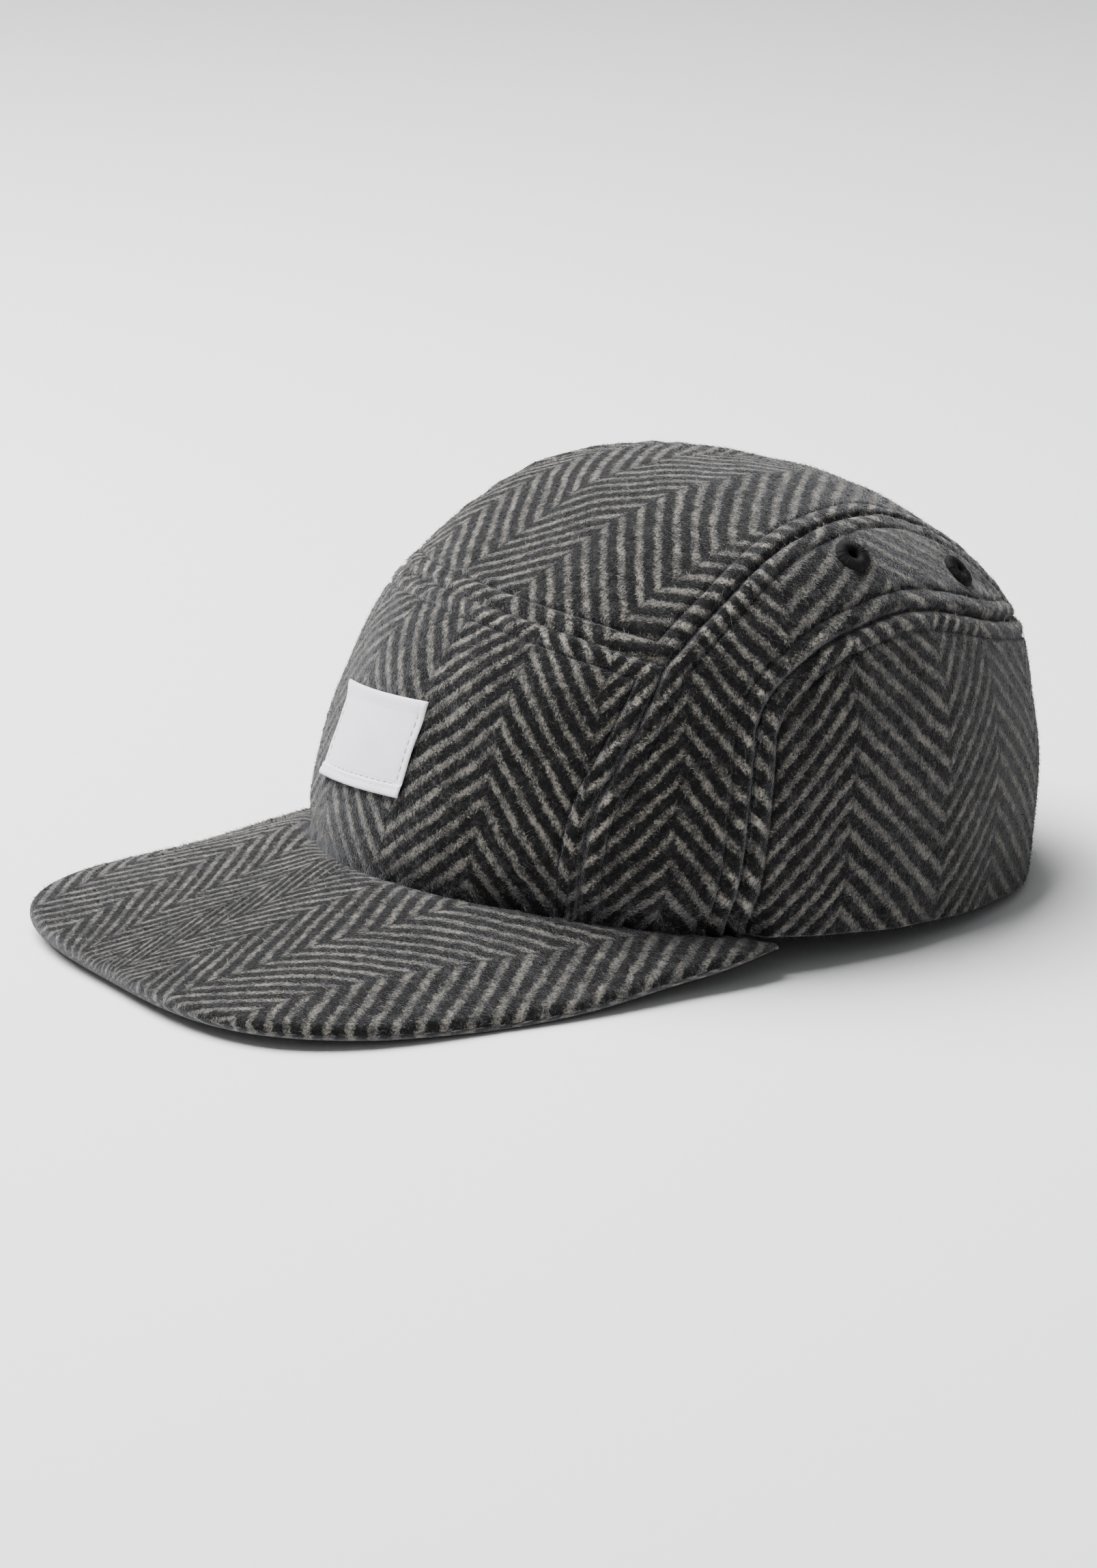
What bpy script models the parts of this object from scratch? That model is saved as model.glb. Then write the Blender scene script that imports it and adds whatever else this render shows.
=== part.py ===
"""Five-panel cap in thick wool cloth, standing on its rear rim and on the sides of its peak.

Metres, +Z up. The peak points along -Y and the wearer's left is +X. The origin is on the floor
under the middle of the cap. The crown is one smooth surface, given by an angle round the head
(0 at the front, 90 at the wearer's left) and a rise (0 at the rim, 1 at the top). The panels,
peak, label and eyelets are all laid out on that surface.
"""
import math
from collections import namedtuple

import bmesh
import bpy
import numpy as np
from mathutils import Matrix, Vector

# Crown
CROWN_LENGTH = 0.2058
CROWN_WIDTH = 0.1645
CROWN_HEIGHT = 0.1134
FRONT_LIFT = 0.0227
CLOTH_THICKNESS = 0.0022
SEAM_GAP = 0.0004
FRONT_SQUARENESS = 1.94
REAR_SQUARENESS = 2.31
TOP_SQUARENESS = 2.0

# Peak
PEAK_REACH = 0.1485
PEAK_THICKNESS = 0.0042
PEAK_CORNER_ANGLE = 74.0
PEAK_CORNER_WIDTH = 0.0016
CORNER_THINNING = 12.0
PEAK_EDGE_THICKNESS = 0.0016
PEAK_EDGE_LIFT = 0.0030
PEAK_GAP = 0.0004

# Label
LABEL_WIDTH = 0.0365
LABEL_HEIGHT = 0.0255
LABEL_THICKNESS = 0.0008
LABEL_BASE_RISE = 0.158
LABEL_OFFSET = -0.0022
LABEL_SLANT = 5.0
LABEL_GAP = 0.0003

# Eyelets
EYELET_RADIUS = 0.0050
EYELET_BORE = 0.00175
EYELET_BARREL_RADIUS = 0.0029
EYELET_FLANGE_THICKNESS = 0.0010
EYELET_GAP = 0.0004

# Seams, as angles in degrees and shares of the rise
TOP_SEAM_RISE = 0.545
JUNCTION_ANGLE = 48.0
JUNCTION_RISE = 0.488
EAR_SEAM_ANGLE = 66.0
EAR_SEAM_RISE = 0.375
REAR_POINT_ANGLE = 159.0
REAR_POINT_TRIM = 1.6

# How the surface is sampled: steps of angle and rise for its normal, the rise over which the normal
# levels out at the rim, and the search for the rise over a point
ANGLE_STEP = 0.1
RISE_STEP = 0.002
LEVELLED_RISE = 0.08
SEARCH_FROM = 0.25
HALVINGS = 40
CURVE_SAMPLES = 200
LABEL_PASSES = 6

Section = namedtuple("Section", "height half_width half_length centre")
# Level cuts of the crown, evenly spaced in rise. Height is a share of the height above the rim,
# half_width of half the crown's width, half_length and centre of half its length.
SECTIONS = (
    Section(0.00, 1.000, 1.000, -0.058),
    Section(0.20, 0.991, 0.985, -0.022),
    Section(0.40, 0.966, 0.948, 0.005),
    Section(0.59, 0.918, 0.878, 0.024),
    Section(0.76, 0.835, 0.706, 0.034),
    Section(0.89, 0.693, 0.487, 0.036),
    Section(0.97, 0.425, 0.289, 0.030),
    Section(1.00, 0.000, 0.000, 0.015),
)

RimRow = namedtuple("RimRow", "lift")
# Lift of the rim above the floor, a row each 22.5 degrees from front to back, as shares of FRONT_LIFT.
RIM_ROWS = tuple(RimRow(v) for v in (1.0, 0.912, 0.709, 0.504, 0.353, 0.234, 0.123, 0.0, 0.0))

PeakRow = namedtuple("PeakRow", "reach lift")
# Outer edge of the peak, a row each 22.5 degrees from the middle to the corner. Reach is the
# distance from the middle of the corner line as a share of PEAK_REACH; lift is how far the edge's
# underside clears the floor as a share of PEAK_EDGE_LIFT.
PEAK_ROWS = (
    PeakRow(1.000, 0.66),
    PeakRow(1.000, 0.90),
    PeakRow(0.745, 0.00),
    PeakRow(0.598, 1.08),
)

SeamRow = namedtuple("SeamRow", "angle rise")
# Temple seam between front and side panels, from the rim up.
TEMPLE_SEAM = (
    SeamRow(40.6, 0.00),
    SeamRow(39.2, 0.12),
    SeamRow(39.7, 0.22),
    SeamRow(42.6, 0.31),
    SeamRow(45.7, 0.405),
    SeamRow(JUNCTION_ANGLE, JUNCTION_RISE),
)
# Upper edge of the back panel, from over the ear to the middle of the back.
EAR_ARCH = (
    SeamRow(EAR_SEAM_ANGLE, EAR_SEAM_RISE),
    SeamRow(68.5, 0.432),
    SeamRow(75.0, 0.485),
    SeamRow(82.0, 0.524),
    SeamRow(91.0, 0.549),
    SeamRow(101.0, 0.563),
    SeamRow(110.0, 0.557),
    SeamRow(120.0, 0.532),
    SeamRow(134.0, 0.490),
    SeamRow(REAR_POINT_ANGLE, 0.435),
    SeamRow(180.0, 0.420),
)

CrownSeamRow = namedtuple("CrownSeamRow", "half_width along")
# Seam between top and side panels behind the junction: half_width as a share of half the crown's
# width, along as a share of half its length.
CROWN_SEAM = (
    CrownSeamRow(0.695, -0.386),
    CrownSeamRow(0.680, -0.268),
    CrownSeamRow(0.644, -0.135),
    CrownSeamRow(0.585, 0.045),
    CrownSeamRow(0.525, 0.210),
    CrownSeamRow(0.470, 0.400),
    CrownSeamRow(0.425, 0.600),
)

EyeletRow = namedtuple("EyeletRow", "name angle rise")
EYELETS = (
    EyeletRow("front", 95.5, 0.700),
    EyeletRow("rear", 131.5, 0.593),
)

RingRow = namedtuple("RingRow", "spread height")
# Outlines of an eyelet's flanges. Spread is a share of the way from the bore, or from the barrel, to
# the outer radius; height is a share of the flange's thickness, away from the cloth.
UPPER_FLANGE = (
    RingRow(0.0, 0.5),
    RingRow(0.3, 1.0),
    RingRow(0.8, 0.85),
    RingRow(1.0, 0.25),
    RingRow(1.0, 0.0),
)
LOWER_FLANGE_SPREAD = 0.5
BARREL_EXTRA = 0.5

# Mesh density
PANEL_COLUMNS = 26
PANEL_ROWS = 11
TOP_COLUMNS = 14
TOP_ROWS = 22
SIDE_COLUMNS = 8
CLIMB_ROWS = 7
ARCH_STEPS = 18
ARCH_GATHERING = 1.3
REAR_STEPS = 5
BACK_ROWS = 9
PEAK_COLUMNS = 44
PEAK_GATHERING = 0.35
PEAK_ROUNDS = 9
NOSE_STEPS = 5
NOSE_BLUNTNESS = 0.2
LABEL_COLUMNS = 10
LABEL_ROWS = 8
RING_STEPS = 20
SHARP_ANGLE = 40.0
CUTTER_CLOTHS = 8

Finish = namedtuple("Finish", "color roughness")
WOOL = Finish((0.075, 0.074, 0.073), 0.95)
PEAK_WOOL = Finish((0.085, 0.083, 0.080), 0.95)
WOVEN_WHITE = Finish((0.83, 0.82, 0.87), 0.70)
BLACK_THREAD = Finish((0.012, 0.012, 0.013), 0.80)


def smooth(x):
    """Eased step from 0 to 1, held beyond."""
    x = np.clip(x, 0, 1)
    return x * x * (3 - 2 * x)


def spline(values, t, end="straight"):
    """Catmull-Rom curve through evenly spaced values, for t from 0 to 1; the far end runs on
    straight, or level as if mirrored there."""
    values = np.asarray(values, float)
    last = len(values) - 1
    before = 2 * values[0] - values[1]
    after = values[-2] if end == "level" else 2 * values[-1] - values[-2]
    v = np.concatenate([[before], values, [after]])
    x = np.clip(np.asarray(t, float), 0, 1) * last
    i = np.minimum(x.astype(int), last - 1)
    u = x - i
    a, b, c, d = v[i], v[i + 1], v[i + 2], v[i + 3]
    square = 2 * a - 5 * b + 4 * c - d
    cube = 3 * b - a - 3 * c + d
    return 0.5 * (2 * b + (c - a) * u + square * u ** 2 + cube * u ** 3)


def mirrored_spline(values, t, end="straight"):
    """The same curve with its near end level, as if mirrored there."""
    count = len(values)
    return spline([values[1]] + values, (np.asarray(t, float) * (count - 1) + 1) / count, end)


def column(rows, name):
    return [getattr(row, name) for row in rows]


def off_front(angle):
    """How far an angle lies from the front, either way round, from 0 to 180 degrees."""
    return np.abs((np.asarray(angle, float) + 180) % 360 - 180)


def seam_height(angle):
    """Height of the peak seam, and of the rim behind it, at an angle in degrees."""
    lift = mirrored_spline(column(RIM_ROWS, "lift"), off_front(angle) / 180, "level")
    return FRONT_LIFT * np.maximum(lift, 0)


def peak_depth(angle):
    """Thickness of the peak's inner edge, thinning to nothing at the corner."""
    inside = (PEAK_CORNER_ANGLE - off_front(angle)) / CORNER_THINNING
    return (PEAK_THICKNESS - PEAK_EDGE_THICKNESS) * smooth(inside)


def rim_height(angle):
    return seam_height(angle) - peak_depth(angle)


def section(rise):
    """Half width, half length and centre of the level cut at a rise."""
    half_width = CROWN_WIDTH / 2 * spline(column(SECTIONS, "half_width"), rise)
    half_length = CROWN_LENGTH / 2 * spline(column(SECTIONS, "half_length"), rise)
    centre = CROWN_LENGTH / 2 * spline(column(SECTIONS, "centre"), rise)
    return half_width, half_length, centre


def on_crown(angle, rise):
    """Point of the crown's outer surface. Each level cut is a superellipse, squarer at the back."""
    angle, rise = np.broadcast_arrays(np.asarray(angle, float), np.asarray(rise, float))
    half_width, half_length, centre = section(rise)
    side = np.sin(np.radians(angle))
    ahead = np.cos(np.radians(angle))
    square = REAR_SQUARENESS + (FRONT_SQUARENESS - REAR_SQUARENESS) * smooth(0.5 + 0.5 * ahead)
    square = square + (TOP_SQUARENESS - square) * rise
    tiny = 1e-9
    across = np.abs(side) / (half_width + tiny)
    along = np.abs(ahead) / (half_length + tiny)
    radius = (across ** square + along ** square) ** (-1 / square)
    base = rim_height(angle)
    z = base + (CROWN_HEIGHT - base) * spline(column(SECTIONS, "height"), rise, "level")
    return np.stack([radius * side, centre - radius * ahead, z], -1)


def crown_normal(angle, rise):
    """Outward normal, levelled at the rim so that the rim is cut square to the wall."""
    rise = np.clip(rise, RISE_STEP, 1 - 2 * RISE_STEP)
    da = on_crown(angle + ANGLE_STEP, rise) - on_crown(angle - ANGLE_STEP, rise)
    dr = on_crown(angle, rise + RISE_STEP) - on_crown(angle, rise - RISE_STEP)
    n = np.cross(da, dr)
    n = n / np.linalg.norm(n, axis=-1, keepdims=True)
    n[..., 2] *= smooth(rise / LEVELLED_RISE)
    return n / np.linalg.norm(n, axis=-1, keepdims=True)


def locate(x, y):
    """Angle and rise of the crown point over (x, y), by halving the rise's range."""
    low = np.full(np.shape(x), SEARCH_FROM)
    high = np.full(np.shape(x), 1.0)
    for _ in range(HALVINGS):
        rise = (low + high) / 2
        centre = section(rise)[2]
        angle = np.degrees(np.arctan2(x, centre - y))
        point = on_crown(angle, rise)
        outside = np.hypot(x, y - centre) > np.hypot(point[..., 0], point[..., 1] - centre)
        high = np.where(outside, rise, high)
        low = np.where(outside, low, rise)
    return angle, rise


def run_along(points):
    """Distance from the start of a path to each of its points."""
    return np.concatenate([[0], np.cumsum(np.linalg.norm(np.diff(points, axis=0), axis=1))])


def evenly(points, count):
    """The same path with its points at equal distances."""
    run = run_along(points)
    where = np.linspace(0, run[-1], count)
    return np.stack([np.interp(where, run, points[:, k]) for k in range(points.shape[1])], -1)


def top_seam(u):
    """Cross seam of the crown from u = -1 at one junction to 1 at the other: angle and rise."""
    return u * JUNCTION_ANGLE, TOP_SEAM_RISE + (JUNCTION_RISE - TOP_SEAM_RISE) * u * u


def temple_angle(rise):
    """Angle of the temple seam at a rise, carried on straight above the junction."""
    t = np.linspace(0, 1, CURVE_SAMPLES)
    rises = spline(column(TEMPLE_SEAM, "rise"), t)
    angles = spline(column(TEMPLE_SEAM, "angle"), t)
    return np.interp(rise, rises, angles)


def arch_rise(angle):
    """Rise of the back panel's upper edge at an angle off the front."""
    t = np.linspace(0, 1, CURVE_SAMPLES)
    angles = spline(column(EAR_ARCH, "angle"), t)
    rises = spline(column(EAR_ARCH, "rise"), t, "level")
    return np.interp(off_front(angle), angles, rises)


def crown_seam(count):
    """Left crown seam from the junction to its rear point, as angle and rise."""
    start = on_crown(JUNCTION_ANGLE, JUNCTION_RISE)
    stop = on_crown(REAR_POINT_ANGLE, arch_rise(REAR_POINT_ANGLE))
    x = [start[0]] + [v * CROWN_WIDTH / 2 for v in column(CROWN_SEAM, "half_width")] + [stop[0]]
    y = [start[1]] + [v * CROWN_LENGTH / 2 for v in column(CROWN_SEAM, "along")] + [stop[1]]
    t = np.linspace(0, 1, CURVE_SAMPLES * CURVE_SAMPLES)
    path = evenly(np.stack([spline(x, t), spline(y, t)], -1), count)
    return np.stack(locate(path[:, 0], path[:, 1]), -1)


def inset(grid, sides):
    """Pulls the named sides of a grid of points in by half the seam gap."""
    grid = grid.copy()
    for side in sides:
        axis, edge, inner = {"first_row": (0, 0, 1), "last_row": (0, -1, -2),
                             "first_column": (1, 0, 1), "last_column": (1, -1, -2)}[side]
        rim = grid.take(edge, axis)
        step = grid.take(inner, axis) - rim
        step = step / np.linalg.norm(step, axis=-1, keepdims=True) * SEAM_GAP / 2
        if axis == 0:
            grid[edge] = rim + step
        else:
            grid[:, edge] = rim + step
    return grid


def grid_object(name, outer, inner, finish):
    """Closed solid between two matching grids of points, rows by columns, outer side out."""
    rows, columns = outer.shape[:2]
    mesh = bmesh.new()
    out = [[mesh.verts.new(p) for p in row] for row in outer]
    back = [[mesh.verts.new(p) for p in row] for row in inner]
    for r in range(rows - 1):
        for c in range(columns - 1):
            mesh.faces.new((out[r][c], out[r][c + 1], out[r + 1][c + 1], out[r + 1][c]))
            mesh.faces.new((back[r][c], back[r + 1][c], back[r + 1][c + 1], back[r][c + 1]))
    for r in range(rows - 1):
        mesh.faces.new((out[r][0], out[r + 1][0], back[r + 1][0], back[r][0]))
        mesh.faces.new((out[r][-1], back[r][-1], back[r + 1][-1], out[r + 1][-1]))
    for c in range(columns - 1):
        mesh.faces.new((out[0][c], back[0][c], back[0][c + 1], out[0][c + 1]))
        mesh.faces.new((out[-1][c], out[-1][c + 1], back[-1][c + 1], back[-1][c]))
    if mesh.calc_volume(signed=True) < 0:
        bmesh.ops.reverse_faces(mesh, faces=mesh.faces)
    return add_object(name, mesh, finish)


def add_object(name, mesh, finish):
    data = bpy.data.meshes.new(name)
    mesh.to_mesh(data)
    mesh.free()
    data.shade_smooth()
    data.set_sharp_from_angle(angle=math.radians(SHARP_ANGLE))
    item = bpy.data.objects.new(name, data)
    cap.objects.link(item)
    material = bpy.data.materials.new(name)
    material.use_nodes = True
    shader = material.node_tree.nodes["Principled BSDF"]
    shader.inputs["Base Color"].default_value = (*finish.color, 1)
    shader.inputs["Roughness"].default_value = finish.roughness
    data.materials.append(material)
    return item


def crown_panel(name, angle, rise, sides):
    """Cloth panel over a grid of angles and rises, trimmed on the sides that meet a seam."""
    outer = inset(on_crown(angle, rise), sides)
    inner = outer - CLOTH_THICKNESS * crown_normal(angle, rise)
    return grid_object(name, outer + SHIFT, inner + SHIFT, WOOL)


def front_panel():
    u, v = np.meshgrid(np.linspace(-1, 1, PANEL_COLUMNS + 1), np.linspace(0, 1, PANEL_ROWS + 1))
    rise = v * top_seam(u)[1]
    angle = u * temple_angle(rise)
    return crown_panel("front_panel", angle, rise, ("last_row", "first_column", "last_column"))


def top_panel():
    """The panel's plan is blended from its four edges, then raised to the crown."""
    seam = crown_seam(TOP_ROWS + 1)
    left = on_crown(seam[:, 0], seam[:, 1])[:, :2]
    right = left * (-1, 1)
    u = np.linspace(-1, 1, TOP_COLUMNS + 1)
    front_angle, front_rise = top_seam(u)
    front = on_crown(temple_angle(front_rise) * u, front_rise)[:, :2]
    rear_angle = 180 - u * (180 - REAR_POINT_ANGLE)
    rear = on_crown(rear_angle, arch_rise(rear_angle))[:, :2]
    s = ((u + 1) / 2)[None, :, None]
    t = np.linspace(0, 1, TOP_ROWS + 1)[:, None, None]
    sides = right[:, None] * (1 - s) + left[:, None] * s
    ends = front[None] * (1 - t) + rear[None] * t
    corners = ((right[0] * (1 - s) + left[0] * s) * (1 - t) + (right[-1] * (1 - s) + left[-1] * s) * t)
    plan = sides + ends - corners
    angle, rise = locate(plan[..., 0], plan[..., 1])
    return crown_panel("top_panel", angle, rise, ("first_row", "last_row", "first_column", "last_column"))


def arch_angles():
    """Angles along the ear arch, closer together where it turns over the ear."""
    share = np.linspace(0, 1, ARCH_STEPS + 1) ** ARCH_GATHERING
    return EAR_SEAM_ANGLE + (REAR_POINT_ANGLE - EAR_SEAM_ANGLE) * share


def side_panel(name, sign):
    """Band between the temple and crown seams above, and the ear seam below, to a rear point."""
    rises = np.linspace(0, JUNCTION_RISE, CURVE_SAMPLES)
    upper = np.concatenate([np.stack([temple_angle(rises), rises], -1), crown_seam(CURVE_SAMPLES)[1:]])
    climb = np.linspace(0, EAR_SEAM_RISE, CLIMB_ROWS + 1)
    angles = arch_angles()[1:]
    angles[-1] -= REAR_POINT_TRIM
    lower = np.concatenate([np.stack([np.full_like(climb, EAR_SEAM_ANGLE), climb], -1),
                            np.stack([angles, arch_rise(angles)], -1)])
    upper = along_path(upper, path_shares(lower))
    t = np.linspace(0, 1, SIDE_COLUMNS + 1)[None, :]
    angle = upper[:, :1] * (1 - t) + lower[:, :1] * t
    rise = upper[:, 1:] * (1 - t) + lower[:, 1:] * t
    return crown_panel(name, sign * angle, rise, ("first_column", "last_column"))


def path_shares(lower):
    """Shares of the ear seam's length at its rows, of the whole way to the rear point."""
    whole = np.concatenate([lower, [[REAR_POINT_ANGLE, arch_rise(REAR_POINT_ANGLE)]]])
    run = run_along(on_crown(whole[:, 0], whole[:, 1]))
    return (run / run[-1])[:-1]


def along_path(path, share):
    """Points of a path of angles and rises at shares of its length over the crown."""
    run = run_along(on_crown(path[:, 0], path[:, 1]))
    return np.stack([np.interp(share * run[-1], run, path[:, k]) for k in (0, 1)], -1)


def back_panel():
    """Columns from ear to ear, sharing the side panels' steps along the arch."""
    rear = np.linspace(REAR_POINT_ANGLE, 180, REAR_STEPS + 1)
    angles = np.concatenate([arch_angles(), rear[1:]])
    angles = np.concatenate([angles, 360 - angles[-2::-1]])
    height = arch_rise(angles)
    rise = np.linspace(0, 1, BACK_ROWS + 1)[:, None] * height
    angle = np.broadcast_to(angles, rise.shape)
    return crown_panel("back_panel", angle, rise, ("last_row", "first_column", "last_column"))


def peak_edge(u):
    """Outer edge of the peak's middle surface, from u = -1 at one corner to 1 at the other."""
    corner = on_crown(PEAK_CORNER_ANGLE, 0.0)
    end_x = corner[0] + PEAK_GAP + PEAK_CORNER_WIDTH
    end_z = seam_height(PEAK_CORNER_ANGLE) - PEAK_EDGE_THICKNESS
    reach = [v * PEAK_REACH for v in column(PEAK_ROWS, "reach")] + [end_x]
    lift = [PEAK_THICKNESS / 2 + v * PEAK_EDGE_LIFT for v in column(PEAK_ROWS, "lift")] + [end_z]
    radius = mirrored_spline(reach, np.abs(u))
    turn = np.radians(90 * u)
    x = radius * np.sin(turn)
    y = corner[1] - radius * np.cos(turn)
    return np.stack([x, y, mirrored_spline(lift, np.abs(u))], -1)


def peak():
    """Padded plate ruled from the crown's rim to its outer edge, with a rounded nose."""
    u = np.linspace(-1, 1, PEAK_COLUMNS + 1)
    u = u + PEAK_GATHERING * (np.sin(u * math.pi / 2) - u)
    angle = u * PEAK_CORNER_ANGLE
    wall = on_crown(angle, 0.0)
    level = crown_normal(angle, 0.0)
    inner_edge = wall + level * PEAK_GAP
    depth = peak_depth(angle) + PEAK_EDGE_THICKNESS
    inner_edge[:, 2] = seam_height(angle) - depth / 2
    outer_edge = peak_edge(u)
    flat = np.linspace(0, 1, PEAK_ROUNDS + 1)[:-1]
    nose = np.sin(np.linspace(0, math.pi / 2, NOSE_STEPS + 1))
    width = np.linalg.norm(outer_edge - inner_edge, axis=-1)
    nose_share = np.minimum(PEAK_THICKNESS, width) / width / 2
    share = np.concatenate([flat[:, None] * (1 - nose_share), 1 - nose_share + nose[:, None] * nose_share])
    swell = np.concatenate([np.ones(PEAK_ROUNDS), np.maximum(np.sqrt(1 - nose ** 2), NOSE_BLUNTNESS)])
    middle = inner_edge * (1 - share[..., None]) + outer_edge * share[..., None]
    half = swell[:, None] * depth / 2
    top = middle.copy()
    top[..., 2] += half
    under = middle.copy()
    under[..., 2] -= half
    return grid_object("peak", top + SHIFT, under + SHIFT, PEAK_WOOL)


def label():
    """Thin plate on the front panel, following it at a small gap. It stands a little to the wearer's
    right of the middle, and its rows climb a little towards the left."""
    x = np.linspace(-LABEL_WIDTH / 2, LABEL_WIDTH / 2, LABEL_COLUMNS + 1)
    up = np.linspace(0, LABEL_HEIGHT, LABEL_ROWS + 1)[:, None] + x * math.tan(math.radians(LABEL_SLANT))
    ladder = np.linspace(0, 1, CURVE_SAMPLES)
    run = run_along(on_crown(0.0, ladder))
    rise = np.interp(np.interp(LABEL_BASE_RISE, ladder, run) + up, run, ladder)
    x = x + LABEL_OFFSET
    angle = np.degrees(x / np.abs(on_crown(0.0, rise)[..., 1] - section(rise)[2]))
    for _ in range(LABEL_PASSES):
        angle = angle * x / on_crown(angle, rise)[..., 0]
    normal = crown_normal(angle, rise)
    back = on_crown(angle, rise) + normal * LABEL_GAP
    return grid_object("label", back + normal * LABEL_THICKNESS + SHIFT, back + SHIFT, WOVEN_WHITE)


def eyelet_frame(row, sign):
    """Placement with its +Z along the crown's normal at an eyelet."""
    angle = np.array(sign * row.angle)
    point = on_crown(angle, np.array(row.rise)) + SHIFT
    normal = crown_normal(angle, np.array(row.rise))
    turn = Vector(normal).to_track_quat("Z", "Y").to_matrix().to_4x4()
    return Matrix.Translation(Vector(point)) @ turn


def eyelet(name, frame):
    """Stitched ring through the cloth: a turned spool whose flanges clear both faces."""
    upper = EYELET_GAP
    lower = -CLOTH_THICKNESS - (1 + BARREL_EXTRA) * EYELET_GAP
    lip = EYELET_FLANGE_THICKNESS
    profile = [(EYELET_BORE + row.spread * (EYELET_RADIUS - EYELET_BORE), upper + row.height * lip)
               for row in UPPER_FLANGE]
    foot = EYELET_BARREL_RADIUS + LOWER_FLANGE_SPREAD * (EYELET_RADIUS - EYELET_BARREL_RADIUS)
    profile += [
        (EYELET_BARREL_RADIUS, upper),
        (EYELET_BARREL_RADIUS, lower),
        (foot, lower),
        (EYELET_BARREL_RADIUS, lower - lip),
        (EYELET_BORE, lower - lip / 2),
    ]
    mesh = bmesh.new()
    rings = []
    for k in range(RING_STEPS):
        turn = 2 * math.pi * k / RING_STEPS
        rings.append([mesh.verts.new((r * math.cos(turn), r * math.sin(turn), z)) for r, z in profile])
    count = len(profile)
    for k in range(RING_STEPS):
        here, there = rings[k], rings[(k + 1) % RING_STEPS]
        for i in range(count):
            j = (i + 1) % count
            mesh.faces.new((here[i], there[i], there[j], here[j]))
    if mesh.calc_volume(signed=True) < 0:
        bmesh.ops.reverse_faces(mesh, faces=mesh.faces)
    item = add_object(name, mesh, BLACK_THREAD)
    item.matrix_world = frame
    return item


def eyelet_hole(panel, name, frame):
    """Cuts the hole that an eyelet's barrel passes through."""
    mesh = bmesh.new()
    radius = EYELET_BARREL_RADIUS + EYELET_GAP
    bmesh.ops.create_cone(mesh, cap_ends=True, segments=RING_STEPS, radius1=radius, radius2=radius,
                          depth=CUTTER_CLOTHS * CLOTH_THICKNESS)
    data = bpy.data.meshes.new(name)
    mesh.to_mesh(data)
    mesh.free()
    cutter = bpy.data.objects.new(name, data)
    cutters.objects.link(cutter)
    cutter.matrix_world = frame
    cutter.hide_render = True
    cutter.display_type = "WIRE"
    cut = panel.modifiers.new(name, "BOOLEAN")
    cut.operation = "DIFFERENCE"
    cut.object = cutter


def plan_middle():
    """Middle of the cap from peak tip to back, which is set over the origin."""
    tip = peak_edge(0.0)[1]
    back = on_crown(180.0, np.linspace(0, 1, CURVE_SAMPLES))[:, 1].max()
    return (tip + back) / 2


for old in list(bpy.data.objects):
    bpy.data.objects.remove(old, do_unlink=True)
cap = bpy.data.collections.new("five_panel_cap")
bpy.context.scene.collection.children.link(cap)
cutters = bpy.data.collections.new("cutters")
bpy.context.scene.collection.children.link(cutters)
SHIFT = np.array([0.0, -plan_middle(), 0.0])

front_panel()
top_panel()
for side, sign in (("left", 1), ("right", -1)):
    band = side_panel("side_panel_" + side, sign)
    for row in EYELETS:
        frame = eyelet_frame(row, sign)
        eyelet_hole(band, f"hole_{side}_{row.name}", frame)
        eyelet(f"eyelet_{side}_{row.name}", frame)
back_panel()
peak()
label()
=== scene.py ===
"""Dresses a five-panel cap: herringbone wool cloth, a bare woven label, worked eyelets, topstitching and
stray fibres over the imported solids, with a pale studio round it.

Metres, +Z up, the peak along -Y and the wearer's left along +X. The crown is one smooth surface, given by
an angle round the head (0 at the front, 90 at the wearer's left) and a rise (0 at the rim, 1 at the top).
"""
import math
from collections import namedtuple

import bpy
import numpy as np
from bpy.props import FloatProperty, FloatVectorProperty, IntProperty, PointerProperty
from mathutils import Matrix, Vector


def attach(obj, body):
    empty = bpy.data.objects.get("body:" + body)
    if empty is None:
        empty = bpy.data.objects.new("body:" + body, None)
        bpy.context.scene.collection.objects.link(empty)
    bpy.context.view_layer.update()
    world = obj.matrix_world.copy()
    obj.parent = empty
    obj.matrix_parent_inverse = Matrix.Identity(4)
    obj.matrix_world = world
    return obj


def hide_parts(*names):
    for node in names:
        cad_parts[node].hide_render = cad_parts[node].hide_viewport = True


bl_info = {
    "name": "Five-panel cap",
    "version": (1, 0, 0),
    "blender": (4, 5, 0),
    "location": "3D View > Sidebar > Cap",
    "description": "Builds a five-panel cap in herringbone wool and a pale studio round it",
    "category": "Add Mesh",
}

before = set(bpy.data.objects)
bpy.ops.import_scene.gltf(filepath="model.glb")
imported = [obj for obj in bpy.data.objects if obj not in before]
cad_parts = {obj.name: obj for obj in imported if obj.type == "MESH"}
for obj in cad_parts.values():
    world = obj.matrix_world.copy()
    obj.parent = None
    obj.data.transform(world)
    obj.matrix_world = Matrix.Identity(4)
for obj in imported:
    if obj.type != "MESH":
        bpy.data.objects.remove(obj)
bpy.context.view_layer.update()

# Shape tables and named sizes

def table(name, columns, *rows):
    """Rows with named columns."""
    row = namedtuple(name, columns)
    return tuple(row(*values) for values in rows)


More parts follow.
